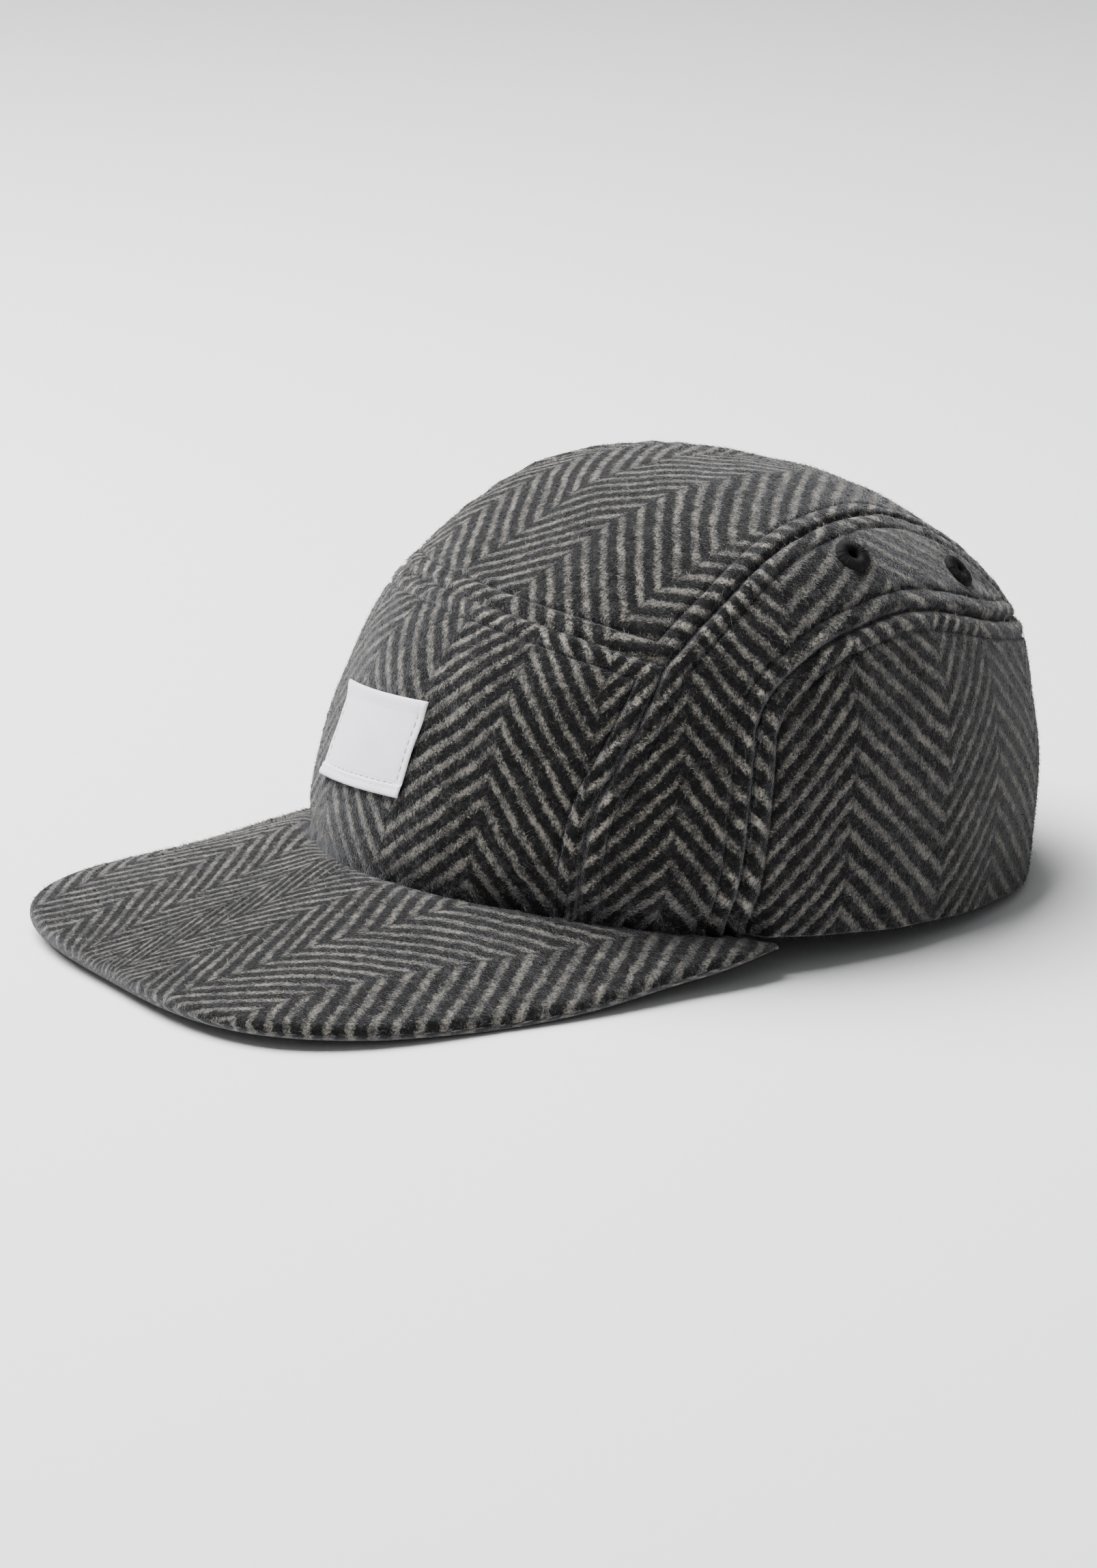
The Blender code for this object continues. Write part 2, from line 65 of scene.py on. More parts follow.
# Level cuts of the crown, as shares of its height, its half width and its half length
SECTIONS = table(
    "Section", "height half_width half_length centre",
    (0.00, 1.000, 1.000, -0.058), (0.20, 0.991, 0.985, -0.022), (0.40, 0.966, 0.948, 0.005),
    (0.59, 0.918, 0.878, 0.024), (0.76, 0.835, 0.706, 0.034), (0.89, 0.693, 0.487, 0.036),
    (0.97, 0.425, 0.289, 0.030), (1.00, 0.000, 0.000, 0.015))
FRONT_SQUARENESS = 1.94
REAR_SQUARENESS = 2.31
TOP_SQUARENESS = 2
# Height of the rim from the front to the back, as shares of the front lift
RIM_LIFTS = (1.0, 0.912, 0.709, 0.504, 0.353, 0.234, 0.123, 0.0, 0.0)

# Edge of the peak, as shares of its reach and of its edge lift, from the tip to the corner
PEAK_ROWS = table("PeakRow", "reach lift", (1.000, 0.66), (1.000, 0.90), (0.745, 0.00), (0.598, 1.08))
PEAK_CORNER_ANGLE = 74.0
PEAK_CORNER_STEP = 0.0020
CORNER_THINNING = 12.0

# Seams, as angles round the head and rises
JUNCTION = (48.0, 0.488)
EAR_SEAM = (66.0, 0.375)
REAR_POINT_ANGLE = 159.0
TOP_SEAM_RISE = 0.545
TEMPLE_SEAM = table("SeamRow", "angle rise", (40.6, 0.00), (39.2, 0.12), (39.7, 0.22), (42.6, 0.31),
                    (45.7, 0.405), JUNCTION)
EAR_ARCH = table("SeamRow", "angle rise", EAR_SEAM, (68.5, 0.432), (75.0, 0.485), (82.0, 0.524),
                 (91.0, 0.549), (101.0, 0.563), (110.0, 0.557), (120.0, 0.532), (134.0, 0.490),
                 (REAR_POINT_ANGLE, 0.435), (180.0, 0.420))
# Crown seams, as shares of the crown's half width and half length
CROWN_SEAM = table("CrownSeamRow", "half_width along", (0.695, -0.386), (0.680, -0.268), (0.644, -0.135),
                   (0.585, 0.045), (0.525, 0.210), (0.470, 0.400), (0.425, 0.600))
EYELETS = table("EyeletRow", "name angle rise", ("front", 95.5, 0.700), ("rear", 131.5, 0.593))

# Relief of the cloth beside a seam: heights, places and widths of its bell curves
PAD_HEIGHT, PAD_END, PAD_FADE = 0.0003, 0.0012, 0.0020
RIDGE_PLACE, RIDGE_WIDTH = 0.0026, 0.0016
PUFF_HEIGHT, PUFF_PLACE, PUFF_WIDTH = 0.0002, 0.0022, 0.0018
VALLEY_WIDTH, GROOVE_WIDTH = 0.0008, 0.00055
# Painted light beside a seam: place and width of the painted highlight on the ridge, width of the painted
# shade in the seam, and width and strength of the painted shade in the stitch groove
RIDGE_HIGHLIGHT_PLACE, RIDGE_HIGHLIGHT_WIDTH = 0.0027, 0.0013
SEAM_SHADE_WIDTH, STITCHED_WIDTH, STITCHED_SHADE = 0.0006, 0.00045, 0.85
# Fullness of the ridge and openness of the valley, and the reach over which two seams' forms blend
SEAM_FORMS = {"cross": (0.75, 0.35), "rear": (0.6, 0.5)}
COMMON_FORM = (1.0, 1.0)
SEAM_BLEND = 0.003
# Unevenness: height, wavelength and seed, of the free cloth, of the cloth held by a seam, of the peak
FREE_RIPPLES = ((0.0014, 0.052, 3), (0.0006, 0.021, 5))
HELD_HEIGHT, HELD_WAVELENGTH, HELD_SEED = 0.0005, 0.0085, 8
PEAK_RIPPLES = ((0.0006, 0.045, 11), (0.0003, 0.017, 12))
FREE_FROM, FREE_FADE, FREE_DISTANCE = 0.004, 0.012, 0.02
# Share of the relief that shows inside, and the hole cut under an eyelet
INNER_RELIEF, HOLE_RADIUS = 0.35, 0.0027
# How far the peak goes into the front cloth, how its top rolls off there, and the width of the painted shade
# along that join
PEAK_BITE, ROLL_OFF, ROLL_OFF_WIDTH, PEAK_JOIN_SHADE_WIDTH = 0.0003, 0.0011, 0.0022, 0.0015

# Upright creases over the peak seam
PUCKERS = table(
    "PuckerRow", "angle height depth",
    (22.0, 0.006, 0.0004), (31.0, 0.008, 0.0006), (38.0, 0.011, 0.0009), (43.5, 0.013, 0.0008),
    (48.0, 0.008, 0.0007), (54.0, 0.012, 0.0009), (60.5, 0.007, 0.0006), (67.0, 0.010, 0.0008),
    (11.0, 0.005, 0.0003), (-12.0, 0.005, 0.0003), (-26.0, 0.007, 0.0005), (-37.0, 0.010, 0.0008),
    (-46.0, 0.012, 0.0008), (-55.0, 0.008, 0.0007), (-66.0, 0.009, 0.0008))
PUCKER_WIDTH, PUCKER_GAIN = 0.0010, 2.0
PUCKER_SHADE_WIDTH, PUCKER_SHADE = 0.0006, 0.9
TUCK_REACH, TUCK_REACH_GAIN = 0.0042, 0.0042
CREVICE_SHADE, CREVICE_SHADE_GAIN = 0.0034, 0.0046
# Angles over which the pull grows from the front to the sides, and fades at the peak's corner
SIDEWAYS, PULL_SIDEWAYS, PULL_FADE = 55, 58, 5

# Herringbone columns: the stripes point up where the column number is odd and down where it is even
WALL_COLUMNS = table(
    "ColumnRow", "place column",
    (-125, -8), (-110, -7), (-87, -6), (-70, -5), (-53.5, -4), (-37, -3), (-22, -2), (-7, -1), (8, 0),
    (23, 1), (38, 2), (53.5, 3), (70, 4), (87, 5), (110, 6), (125, 7), (145, 8), (162, 9), (180, 10),
    (198, 11), (215, 12), (235, 13), (250, 14), (273, 15), (290, 16), (306.5, 17))
BAND_COLUMNS = table("ColumnRow", "place column", (38, 2), (53, 3), (72.5, 4), (102.5, 5), (133, 6), (159, 7))
TOP_COLUMNS = table("ColumnRow", "place column", (-0.082, -3), (-0.056, -2), (-0.030, -1), (-0.005, 0),
                    (0.017, 1), (0.045, 2), (0.071, 3))
COLUMN_STEP = 0.14

# Pile and fibres: square centimetres in a square metre, the form at which cloth counts as pinched, the
# depth of the roots, and the clearance over the floor
SQUARE_CENTIMETRES = 1e4
PINCHED = -0.3
ROOT_DEPTH, FLOOR_CLEARANCE = 0.00004, 0.0001
# Label: stitch rows from its foot, its top and its sides, the dent of a row, and its rest over the cloth
FOOT_ROWS, TOP_ROW, SIDE_ROW = (0.0021, 0.0036), 0.0024, 0.0019
ROW_DENT, ROW_WIDTH = 0.00022, 0.00032
LABEL_REST = 0.00045


def length(name, description, default):
    return FloatProperty(name=name, description=description, default=default, min=0.0,
                         unit="LENGTH", subtype="DISTANCE", precision=5)


def real(name, description, default, **limits):
    return FloatProperty(name=name, description=description, default=default, **limits)


def colour(name, description, default):
    return FloatVectorProperty(name=name, description=description, default=default, size=3,
                               min=0.0, max=1.0, subtype="COLOR")


class CapSizes(bpy.types.PropertyGroup):
    """Sizes of the cap, of its seams and of the weave."""

    crown_length: length("Crown length", "Crown from front to back at the rim", 0.2058)
    crown_width: length("Crown width", "Crown from side to side at the rim", 0.1645)
    crown_height: length("Crown height", "Top of the crown above the floor", 0.1134)
    front_lift: length("Front lift", "Height of the peak seam at the front", 0.0227)
    cloth: length("Cloth", "Thickness of the wool cloth", 0.0022)
    peak_reach: length("Peak reach", "Peak tip from the line between the peak's corners", 0.1485)
    peak_thickness: length("Peak thickness", "Padded thickness of the peak", 0.0042)
    peak_edge_thickness: length("Corner thickness", "Thickness of the peak at its corners", 0.0016)
    peak_edge_lift: length("Peak edge lift", "Scale of the peak edge's rise off the floor", 0.0030)
    seam_valley: length("Seam valley", "Depth of the cloth at a seam", 0.0016)
    seam_ridge: length("Seam ridge", "Height of the padded ridge beside a seam", 0.0005)
    stitch_offset: length("Stitch offset", "Topstitching from its seam", 0.0056)
    stitch_sink: length("Stitch sink", "Depth of the groove that topstitching pulls", 0.0007)
    stitch_pitch: length("Stitch pitch", "From one topstitch to the next", 0.0032)
    tuck_front: length("Front tuck", "Pull of the cloth into the peak seam at the front", 0.0012)
    tuck_side: length("Side tuck", "Pull of the cloth into the peak seam at the sides", 0.0048)
    column_width: length("Column width", "Width of a herringbone column", 0.027)
    stripe_pitch: length("Stripe pitch", "From one light stripe to the next, along a column", 0.0070)
    label_width: length("Label width", "Label from side to side", 0.0365)
    label_height: length("Label height", "Label from bottom to top", 0.0255)
    label_thickness: length("Label thickness", "Label cloth", 0.0006)
    eyelet_radius: length("Eyelet radius", "Outer radius of a worked eyelet", 0.0050)
    eyelet_bore: length("Eyelet bore", "Radius of an eyelet's hole", 0.0016)
    label_base_rise: real("Label place", "Rise of the label's lower edge", 0.158, min=0.0, max=1.0)
    label_offset: real("Label offset", "Label's middle, to the wearer's left", -0.0022, unit="LENGTH",
                         precision=5)
    label_slant: real("Label slant", "Climb of the label's rows in degrees", 5.0)
    stripe_angle: real("Stripe angle", "Slope of the stripes in degrees", 46.0, min=20.0, max=70.0)
    fibres: IntProperty(name="Fibres", description="Stray fibres to a square centimetre", default=6, min=1)
    pile: IntProperty(name="Pile", description="Short brushed fibres to a square centimetre", default=100,
                      min=1)


class CapColours(bpy.types.PropertyGroup):
    """Colours of the yarns, the label and the studio."""

    light_yarn: colour("Light yarn", "Stripes", (0.440, 0.408, 0.345))
    dark_yarn: colour("Dark yarn", "Ground", (0.0040, 0.0040, 0.0042))
    haze: colour("Haze", "Felted surface fibres", (0.060, 0.059, 0.057))
    # Painted shade for seams, stitch grooves and creases, also the dark gaps between the fibres
    shade_and_fibre_gaps: colour("Pinched cloth", "Shut creases and gaps between the fibres", (0.0025, 0.0025, 0.0030))
    label: colour("Label", "Woven label", (0.900, 0.890, 0.960))
    label_thread: colour("Label thread", "Stitches round the label", (0.800, 0.770, 0.740))
    black_thread: colour("Black thread", "Eyelets and topstitching", (0.0028, 0.0028, 0.0032))
    floor: colour("Floor", "Studio floor", (0.860, 0.860, 0.860))


class StudioSettings(bpy.types.PropertyGroup):
    """Camera and lights of the studio."""

    azimuth: real("Azimuth", "Camera round the cap in degrees", 54.363)
    elevation: real("Elevation", "Camera above the horizon in degrees", 16.642)
    roll: real("Roll", "Camera turned about its view in degrees", -1.307)
    distance: length("Distance", "Camera from its target", 1.4)
    lens: real("Lens", "Focal length in millimetres", 122.3)
    target: FloatVectorProperty(name="Target", description="Point that the camera faces",
                                default=(0.0, 0.0092, 0.050), subtype="TRANSLATION", unit="LENGTH")
    shift: FloatVectorProperty(name="Shift", description="Shift of the lens", size=2,
                               default=(-0.0272, -0.0461))
    top_light: real("Top light", "Power of the overhead softbox in watts", 104.0, min=0.0)
    side_light: real("Side light", "Power of each softbox at the side in watts", 2.5, min=0.0)
    sky: real("Sky", "Strength of the even studio light", 0.22, min=0.0)


def sizes():
    return bpy.context.scene.cap_sizes


def colours():
    return bpy.context.scene.cap_colours


# Crown surface

def unit(ways):
    return ways / np.linalg.norm(ways, axis=-1, keepdims=True)


def bell(x, width):
    """Bell curve: e to minus the square of x over the width."""
    return np.exp(-(x / width) ** 2)


def smooth(x):
    """Eased step: 3 x squared less 2 x cubed, held between 0 and 1."""
    x = np.clip(x, 0, 1)
    return x * x * (3 - 2 * x)


def spline(values, t, end="straight"):
    """Catmull-Rom curve through evenly spaced values, for t from 0 to 1; the far end runs on
    straight, or level as if mirrored there."""
    values = np.asarray(values, float)
    last = len(values) - 1
    before = 2 * values[0] - values[1]
    after = values[-2] if end == "level" else 2 * values[-1] - values[-2]
    v = np.concatenate([[before], values, [after]])
    x = np.clip(np.asarray(t, float), 0, 1) * last
    i = np.minimum(x.astype(int), last - 1)
    u = x - i
    a, b, c, d = v[i], v[i + 1], v[i + 2], v[i + 3]
    return 0.5 * (2 * b + (c - a) * u + (2 * a - 5 * b + 4 * c - d) * u ** 2
                  + (3 * b - a - 3 * c + d) * u ** 3)


def mirrored_spline(values, t, end="straight"):
    """The same curve with its near end level, as if the values went on mirrored before the first."""
    count = len(values)
    return spline([values[1], *values], (np.asarray(t, float) * (count - 1) + 1) / count, end)


def column(rows, name):
    return [getattr(row, name) for row in rows]


def off_front(angle):
    """How far an angle lies from the front, either way round, from 0 to 180 degrees."""
    return np.abs((np.asarray(angle, float) + 180) % 360 - 180)


def seam_height(angle):
    """Height of the peak seam, and of the rim behind it: a mirrored curve through the rim's lifts."""
    return sizes().front_lift * np.maximum(mirrored_spline(RIM_LIFTS, off_front(angle) / 180, "level"), 0)


def peak_depth(angle):
    """How far the crown's rim lies under the peak's top, eased to nothing at the corner."""
    s = sizes()
    return (s.peak_thickness - s.peak_edge_thickness) * smooth(
        (PEAK_CORNER_ANGLE - off_front(angle)) / CORNER_THINNING)


def rim_height(angle):
    return seam_height(angle) - peak_depth(angle)


def section(rise):
    """Half width, half length and centre of the level cut at a rise."""
    s = sizes()
    return (s.crown_width / 2 * spline(column(SECTIONS, "half_width"), rise),
            s.crown_length / 2 * spline(column(SECTIONS, "half_length"), rise),
            s.crown_length / 2 * spline(column(SECTIONS, "centre"), rise))


def on_crown(angle, rise):
    """Crown point: radius = (|sin/half_width|^n + |cos/half_length|^n)^(-1/n), from the cut's centre,
    with n squarer at the back and 2 at the top; height eased from the rim to the top."""
    angle, rise = np.broadcast_arrays(np.asarray(angle, float), np.asarray(rise, float))
    half_width, half_length, centre = section(rise)
    side, ahead = np.sin(np.radians(angle)), np.cos(np.radians(angle))
    square = REAR_SQUARENESS + (FRONT_SQUARENESS - REAR_SQUARENESS) * smooth(0.5 + 0.5 * ahead)
    square = square + (TOP_SQUARENESS - square) * rise
    tiny = 1e-9
    radius = ((np.abs(side) / (half_width + tiny)) ** square
              + (np.abs(ahead) / (half_length + tiny)) ** square) ** (-1 / square)
    base = rim_height(angle)
    z = base + (sizes().crown_height - base) * spline(column(SECTIONS, "height"), rise, "level")
    return np.stack([radius * side, centre - radius * ahead, z], -1)


def crown_normal(angle, rise):
    """Outward normal from the surface's differences, levelled at the rim."""
    step_a, step_r = 0.1, 0.002
    rise = np.clip(rise, step_r, 0.995)
    da = on_crown(angle + step_a, rise) - on_crown(angle - step_a, rise)
    dr = on_crown(angle, np.minimum(rise + step_r, 1)) - on_crown(angle, rise - step_r)
    n = unit(np.cross(da, dr))
    n[..., 2] *= smooth(rise / 0.08)
    return unit(n)


def locate(x, y):
    """Angle and rise of the crown point over (x, y), by halving the rise's range."""
    low, high = np.full(np.shape(x), 0.25), np.full(np.shape(x), 1.0)
    for _ in range(34):
        rise = (low + high) / 2
        centre = section(rise)[2]
        angle = np.degrees(np.arctan2(x, centre - y))
        point = on_crown(angle, rise)
        outside = np.hypot(x, y - centre) > np.hypot(point[..., 0], point[..., 1] - centre)
        high = np.where(outside, rise, high)
        low = np.where(outside, low, rise)
    return angle, rise


def run_along(points):
    """Distance from the start of a path to each of its points."""
    return np.concatenate([[0], np.cumsum(np.linalg.norm(np.diff(points, axis=0), axis=1))])


def evenly(points, count):
    """The same path with its points at equal distances."""
    run = run_along(points)
    where = np.linspace(0, run[-1], count)
    return np.stack([np.interp(where, run, points[:, k]) for k in range(points.shape[1])], -1)


def along_path(path, share):
    """Points of a path of angles and rises at shares of its length over the crown."""
    run = run_along(on_crown(path[:, 0], path[:, 1]))
    return np.stack([np.interp(share * run[-1], run, path[:, k]) for k in (0, 1)], -1)


# Seams

def top_seam(u):
    """Cross seam from u = -1 at one junction to 1 at the other: the rise falls with u squared."""
    return u * JUNCTION[0], TOP_SEAM_RISE + (JUNCTION[1] - TOP_SEAM_RISE) * u * u


def temple_angle(rise):
    t = np.linspace(0, 1, 60)
    return np.interp(rise, spline(column(TEMPLE_SEAM, "rise"), t), spline(column(TEMPLE_SEAM, "angle"), t))


def arch_rise(angle):
    t = np.linspace(0, 1, 200)
    return np.interp(off_front(angle), spline(column(EAR_ARCH, "angle"), t),
                     spline(column(EAR_ARCH, "rise"), t, "level"))


def crown_seam(count):
    """Left crown seam from the junction to its rear point, as angle and rise."""
    s = sizes()
    start = on_crown(*JUNCTION)
    stop = on_crown(REAR_POINT_ANGLE, arch_rise(REAR_POINT_ANGLE))
    x = [start[0]] + [v * s.crown_width / 2 for v in column(CROWN_SEAM, "half_width")] + [stop[0]]
    y = [start[1]] + [v * s.crown_length / 2 for v in column(CROWN_SEAM, "along")] + [stop[1]]
    t = np.linspace(0, 1, 20 * count)
    path = evenly(np.stack([spline(x, t), spline(y, t)], -1), count)
    return np.stack(locate(path[:, 0], path[:, 1]), -1)


def mirrored(path):
    return path * (-1, 1)


def seam_lines():
    """Every seam as a path of angles and rises."""
    climb = np.linspace(0, JUNCTION[1], 40)
    temple = np.stack([temple_angle(climb), climb], -1)
    crown = crown_seam(110)
    up = np.linspace(0, EAR_SEAM[1], 30)
    over = np.linspace(EAR_SEAM[0], REAR_POINT_ANGLE, 120)
    ear = np.concatenate([np.stack([np.full_like(up, EAR_SEAM[0]), up], -1),
                          np.stack([over, arch_rise(over)], -1)[1:]])
    rear = np.linspace(REAR_POINT_ANGLE, 360 - REAR_POINT_ANGLE, 40)
    return {"cross": np.stack(top_seam(np.linspace(-1, 1, 81)), -1),
            "temple_left": temple, "temple_right": mirrored(temple),
            "crown_left": crown, "crown_right": mirrored(crown),
            "ear_left": ear, "ear_right": mirrored(ear),
            "rear": np.stack([rear, arch_rise(rear)], -1)}


def distance_to(points, line):
    """Shortest distance from each point to a line of points, over its straight pieces: the nearest line
    point is found first, then the nearest place on the two pieces that meet there."""
    flat = points.reshape(-1, 3)
    best = np.empty(len(flat))
    for start in range(0, len(flat), 4000):
        p = flat[start:start + 4000]
        nearest = ((p[:, None] - line[None]) ** 2).sum(-1).argmin(1)
        found = np.full(len(p), np.inf)
        for shift in (-1, 0):
            i = np.clip(nearest + shift, 0, len(line) - 2)
            a, way = line[i], line[i + 1] - line[i]
            t = np.clip(((p - a) * way).sum(-1) / np.maximum((way ** 2).sum(-1), 1e-12), 0, 1)
            found = np.minimum(found, np.linalg.norm(p - a - way * t[:, None], axis=-1))
        best[start:start + 4000] = found
    return best.reshape(points.shape[:-1])


def seam_relief(away, fullness, openness):
    """Height of the cloth at a distance from its seam: a valley at the seam, a padded ridge, the groove
    of the topstitching, then flat; each a bell curve of its own width. Fullness scales the ridge, and
    openness the valley."""
    s = sizes()
    pad = PAD_HEIGHT * smooth((s.stitch_offset + PAD_END - away) / PAD_FADE)
    ridge = s.seam_ridge * bell(away - RIDGE_PLACE, RIDGE_WIDTH)
    puff = PUFF_HEIGHT * bell(away - s.stitch_offset - PUFF_PLACE, PUFF_WIDTH)
    valley = s.seam_valley * bell(away, VALLEY_WIDTH)
    groove = s.stitch_sink * bell(away - s.stitch_offset, GROOVE_WIDTH)
    return (pad + ridge + puff) * fullness - valley * openness - groove


def seam_shade_and_highlight(away, openness):
    """How the cloth stands at a distance from its seam, as painted light that also marks where it is pinched:
    -1 for painted shade where it is pinched shut, in the seam and under the stitches, 1 for a painted
    highlight on the ridge between them, 0 elsewhere; bell curves."""
    return (bell(away - RIDGE_HIGHLIGHT_PLACE, RIDGE_HIGHLIGHT_WIDTH) - openness * bell(away, SEAM_SHADE_WIDTH)
            - STITCHED_SHADE * bell(away - sizes().stitch_offset, STITCHED_WIDTH))


def ripple(points, wavelength, seed):
    """Soft unevenness about 0: the mean of seven sine waves near one wavelength in seeded directions."""
    rng = np.random.default_rng(seed)
    way = unit(rng.normal(size=(7, 3))) / (wavelength * rng.uniform(0.7, 1.5, (7, 1)))
    return np.sin(2 * math.pi * (points @ way.T + rng.uniform(0, 1, 7))).mean(-1)


def rippled(points, rows):
    """Sum of ripples, each with its height, wavelength and seed."""
    return sum(height * ripple(points, wavelength, seed) for height, wavelength, seed in rows)


def above_rim(angle, point):
    return point[..., 2] - rim_height(angle)


def pucker(angle, seam, width, depth=None):
    """Narrow upright creases that rise from the peak seam: bells of the given width across, each fading over
    its own height; of the table's depth, or of the given one at the deepest row, for the creases' painted
    shade."""
    signed = (np.asarray(angle, float) + 180) % 360 - 180
    deepest = max(column(PUCKERS, "depth"))
    total = np.zeros(np.shape(seam))
    for row in PUCKERS:
        across = np.radians(signed - row.angle) * sizes().crown_width / 2
        size = row.depth if depth is None else depth * row.depth / deepest
        total = total + size * bell(across, width) * smooth(1.2 * (1 - seam / row.height))
    return total


def tuck(angle, height):
    """Pull towards the head over the peak: a bell over the height above the rim, stronger at the sides,
    with narrow upright puckers."""
    s = sizes()
    off = off_front(angle)
    amount = s.tuck_front + (s.tuck_side - s.tuck_front) * smooth(off / PULL_SIDEWAYS)
    seam = height - peak_depth(angle)
    reach = TUCK_REACH + TUCK_REACH_GAIN * smooth(off / SIDEWAYS)
    pull = amount * bell(np.maximum(seam, 0), reach) + PUCKER_GAIN * pucker(angle, seam, PUCKER_WIDTH)
    return pull * smooth((PEAK_CORNER_ANGLE - off) / PULL_FADE)


def seam_distance(base, names):
    """Distance from crown points to the nearest of the named seams, with the fullness and openness there:
    averages of the seams' own, weighted by how near each is."""
    lines = seam_lines()
    away = np.stack([distance_to(base, on_crown(*lines[name].T)) for name in names])
    near = np.exp(-(away - away.min(0)) / SEAM_BLEND)
    forms = np.array([SEAM_FORMS.get(name, COMMON_FORM) for name in names])
    fullness, openness = np.tensordot(forms.T, near, 1) / near.sum(0)
    return away.min(0), fullness, openness


def dressed(angle, rise, away=FREE_DISTANCE, fullness=1.0, openness=1.0):
    """Base point, normal, relief and tuck of the cloth at crown places that lie away from a seam."""
    base = on_crown(angle, rise)
    free = smooth((away - FREE_FROM) / FREE_FADE)
    relief = seam_relief(away, fullness, openness) + free * rippled(base, FREE_RIPPLES)
    relief = relief + (1 - free) * HELD_HEIGHT * ripple(base, HELD_WAVELENGTH, HELD_SEED)
    return base, crown_normal(angle, rise), relief, tuck(angle, above_rim(angle, base))


def middle_shift():
    """Moves the crown's frame so that the middle of the cap stands over the origin."""
    tip = peak_edge(np.linspace(-1, 1, 401))[:, 1].min()
    back = on_crown(180.0, np.linspace(0, 1, 401))[:, 1].max()
    return np.array([0.0, -(tip + back) / 2, 0.0])


# Meshes

def mesh_object(name, points, faces, material, uv=None, tone=None, sharp=None):
    """Mesh from whole arrays: points, a list of face index arrays, and per-point uv or tone values."""
    mesh = bpy.data.meshes.new(name)
    faces = [np.asarray(f, np.int32) for f in faces if len(f)]
    corners = np.concatenate([f.ravel() for f in faces])
    totals = np.concatenate([np.full(len(f), f.shape[1], np.int32) for f in faces])
    starts = np.concatenate([[0], np.cumsum(totals)[:-1]]).astype(np.int32)
    mesh.vertices.add(len(points))
    mesh.vertices.foreach_set("co", np.asarray(points, np.float32).ravel())
    mesh.loops.add(len(corners))
    mesh.loops.foreach_set("vertex_index", corners)
    mesh.polygons.add(len(totals))
    mesh.polygons.foreach_set("loop_start", starts)
    mesh.polygons.foreach_set("loop_total", totals)
    mesh.update(calc_edges=True)
    if mesh.validate():
        raise RuntimeError(f"{name}: the mesh had faulty faces")
    if uv is not None:
        layer = mesh.uv_layers.new(name="weave")
        layer.data.foreach_set("uv", np.asarray(uv, np.float32)[corners].ravel())
    if tone is not None:
        layer = mesh.attributes.new("tone", "FLOAT", "POINT")
        layer.data.foreach_set("value", np.asarray(tone, np.float32))
    mesh.shade_smooth()
    if sharp is not None:
        mesh.set_sharp_from_angle(angle=math.radians(sharp))
    mesh.materials.append(material)
    item = bpy.data.objects.new(name, mesh)
    bpy.context.scene.collection.objects.link(item)
    return item


def sheet_faces(keep):
    """Faces of a closed two-sided sheet over a grid: outer quads, inner quads turned round, and a wall
    along each edge of the kept cells. Inner points follow the outer points in the same order."""
    rows, columns = keep.shape[0] + 1, keep.shape[1] + 1
    number = np.arange(rows * columns).reshape(rows, columns)
    a, b, c, d = number[:-1, :-1], number[:-1, 1:], number[1:, 1:], number[1:, :-1]
    inner = rows * columns
    outer = np.stack([a, b, c, d], -1)[keep]
    walls = []
    padded = np.pad(keep, 1)
    for beside, first, second in ((padded[:-2, 1:-1], a, b), (padded[1:-1, 2:], b, c),
                                  (padded[2:, 1:-1], c, d), (padded[1:-1, :-2], d, a)):
        open_side = keep & ~beside
        p, q = first[open_side], second[open_side]
        walls.append(np.stack([q, p, p + inner, q + inner], -1))
    return [outer, outer[:, ::-1] + inner] + walls


def facing_out(points, faces, outward):
    """The faces, turned round if the first face's normal points against the outward direction."""
    quad = points[faces[0][len(faces[0]) // 2]]
    normal = np.cross(quad[2] - quad[0], quad[3] - quad[1])
    return faces if normal @ outward > 0 else [f[:, ::-1] for f in faces]


def clustered(count, strength=5.0, width=0.07):
    """Shares from 0 to 1, closer together near both ends: the inverse of a summed density."""
    t = np.linspace(0, 1, 2001)
    density = 1 + strength * (bell(t, width) + bell(1 - t, width))
    run = np.concatenate([[0], np.cumsum((density[1:] + density[:-1]) / 2)])
    return np.interp(np.linspace(0, run[-1], count + 1), run, t)


def finish_piece(item, slot, *nodes):
    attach(item, "root")
    if nodes:
        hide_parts(*nodes)


def sheet(node, outer, inner, keep, outward, finish, slot, uv, sharp, form=None):
    """Closed two-sided piece in place of a node, from its outer and inner grids of points, with a grid of uv
    values for each side and one grid of forms for both, which carries the cloth's painted shade and highlight
    as the tone."""
    points = np.concatenate([outer.reshape(-1, 3), inner.reshape(-1, 3)])
    faces = facing_out(points, sheet_faces(keep), outward)
    item = mesh_object(node + "_cloth", points, faces, finish, sharp=sharp,
                       uv=np.concatenate([side.reshape(-1, 2) for side in uv]),
                       tone=None if form is None else np.tile(form.ravel(), 2))
    finish_piece(item, slot, node)


def every_cell(grid):
    return np.ones((grid.shape[0] - 1, grid.shape[1] - 1), bool)


def spokes(first, second, count):
    """Directions turned evenly from the first one towards the second, all the way round."""
    turn = (2 * math.pi * np.arange(count) / count)[:, None]
    return first[..., None, :] * np.cos(turn) + second[..., None, :] * np.sin(turn)


def tube_quads(rings, sides):
    """Side faces of one tube whose points are given ring after ring."""
    ring, k = np.meshgrid(np.arange(rings - 1) * sides, np.arange(sides), indexing="ij")
    following = (k + 1) % sides
    return np.stack([ring + k, ring + following, ring + sides + following, ring + sides + k],
                    -1).reshape(-1, 4)


def copies(faces, count, size):
    """The faces of one small form, again for each of many whose points follow one another."""
    return ((np.arange(count) * size)[:, None, None] + faces).reshape(-1, faces.shape[1])


# Weave coordinates

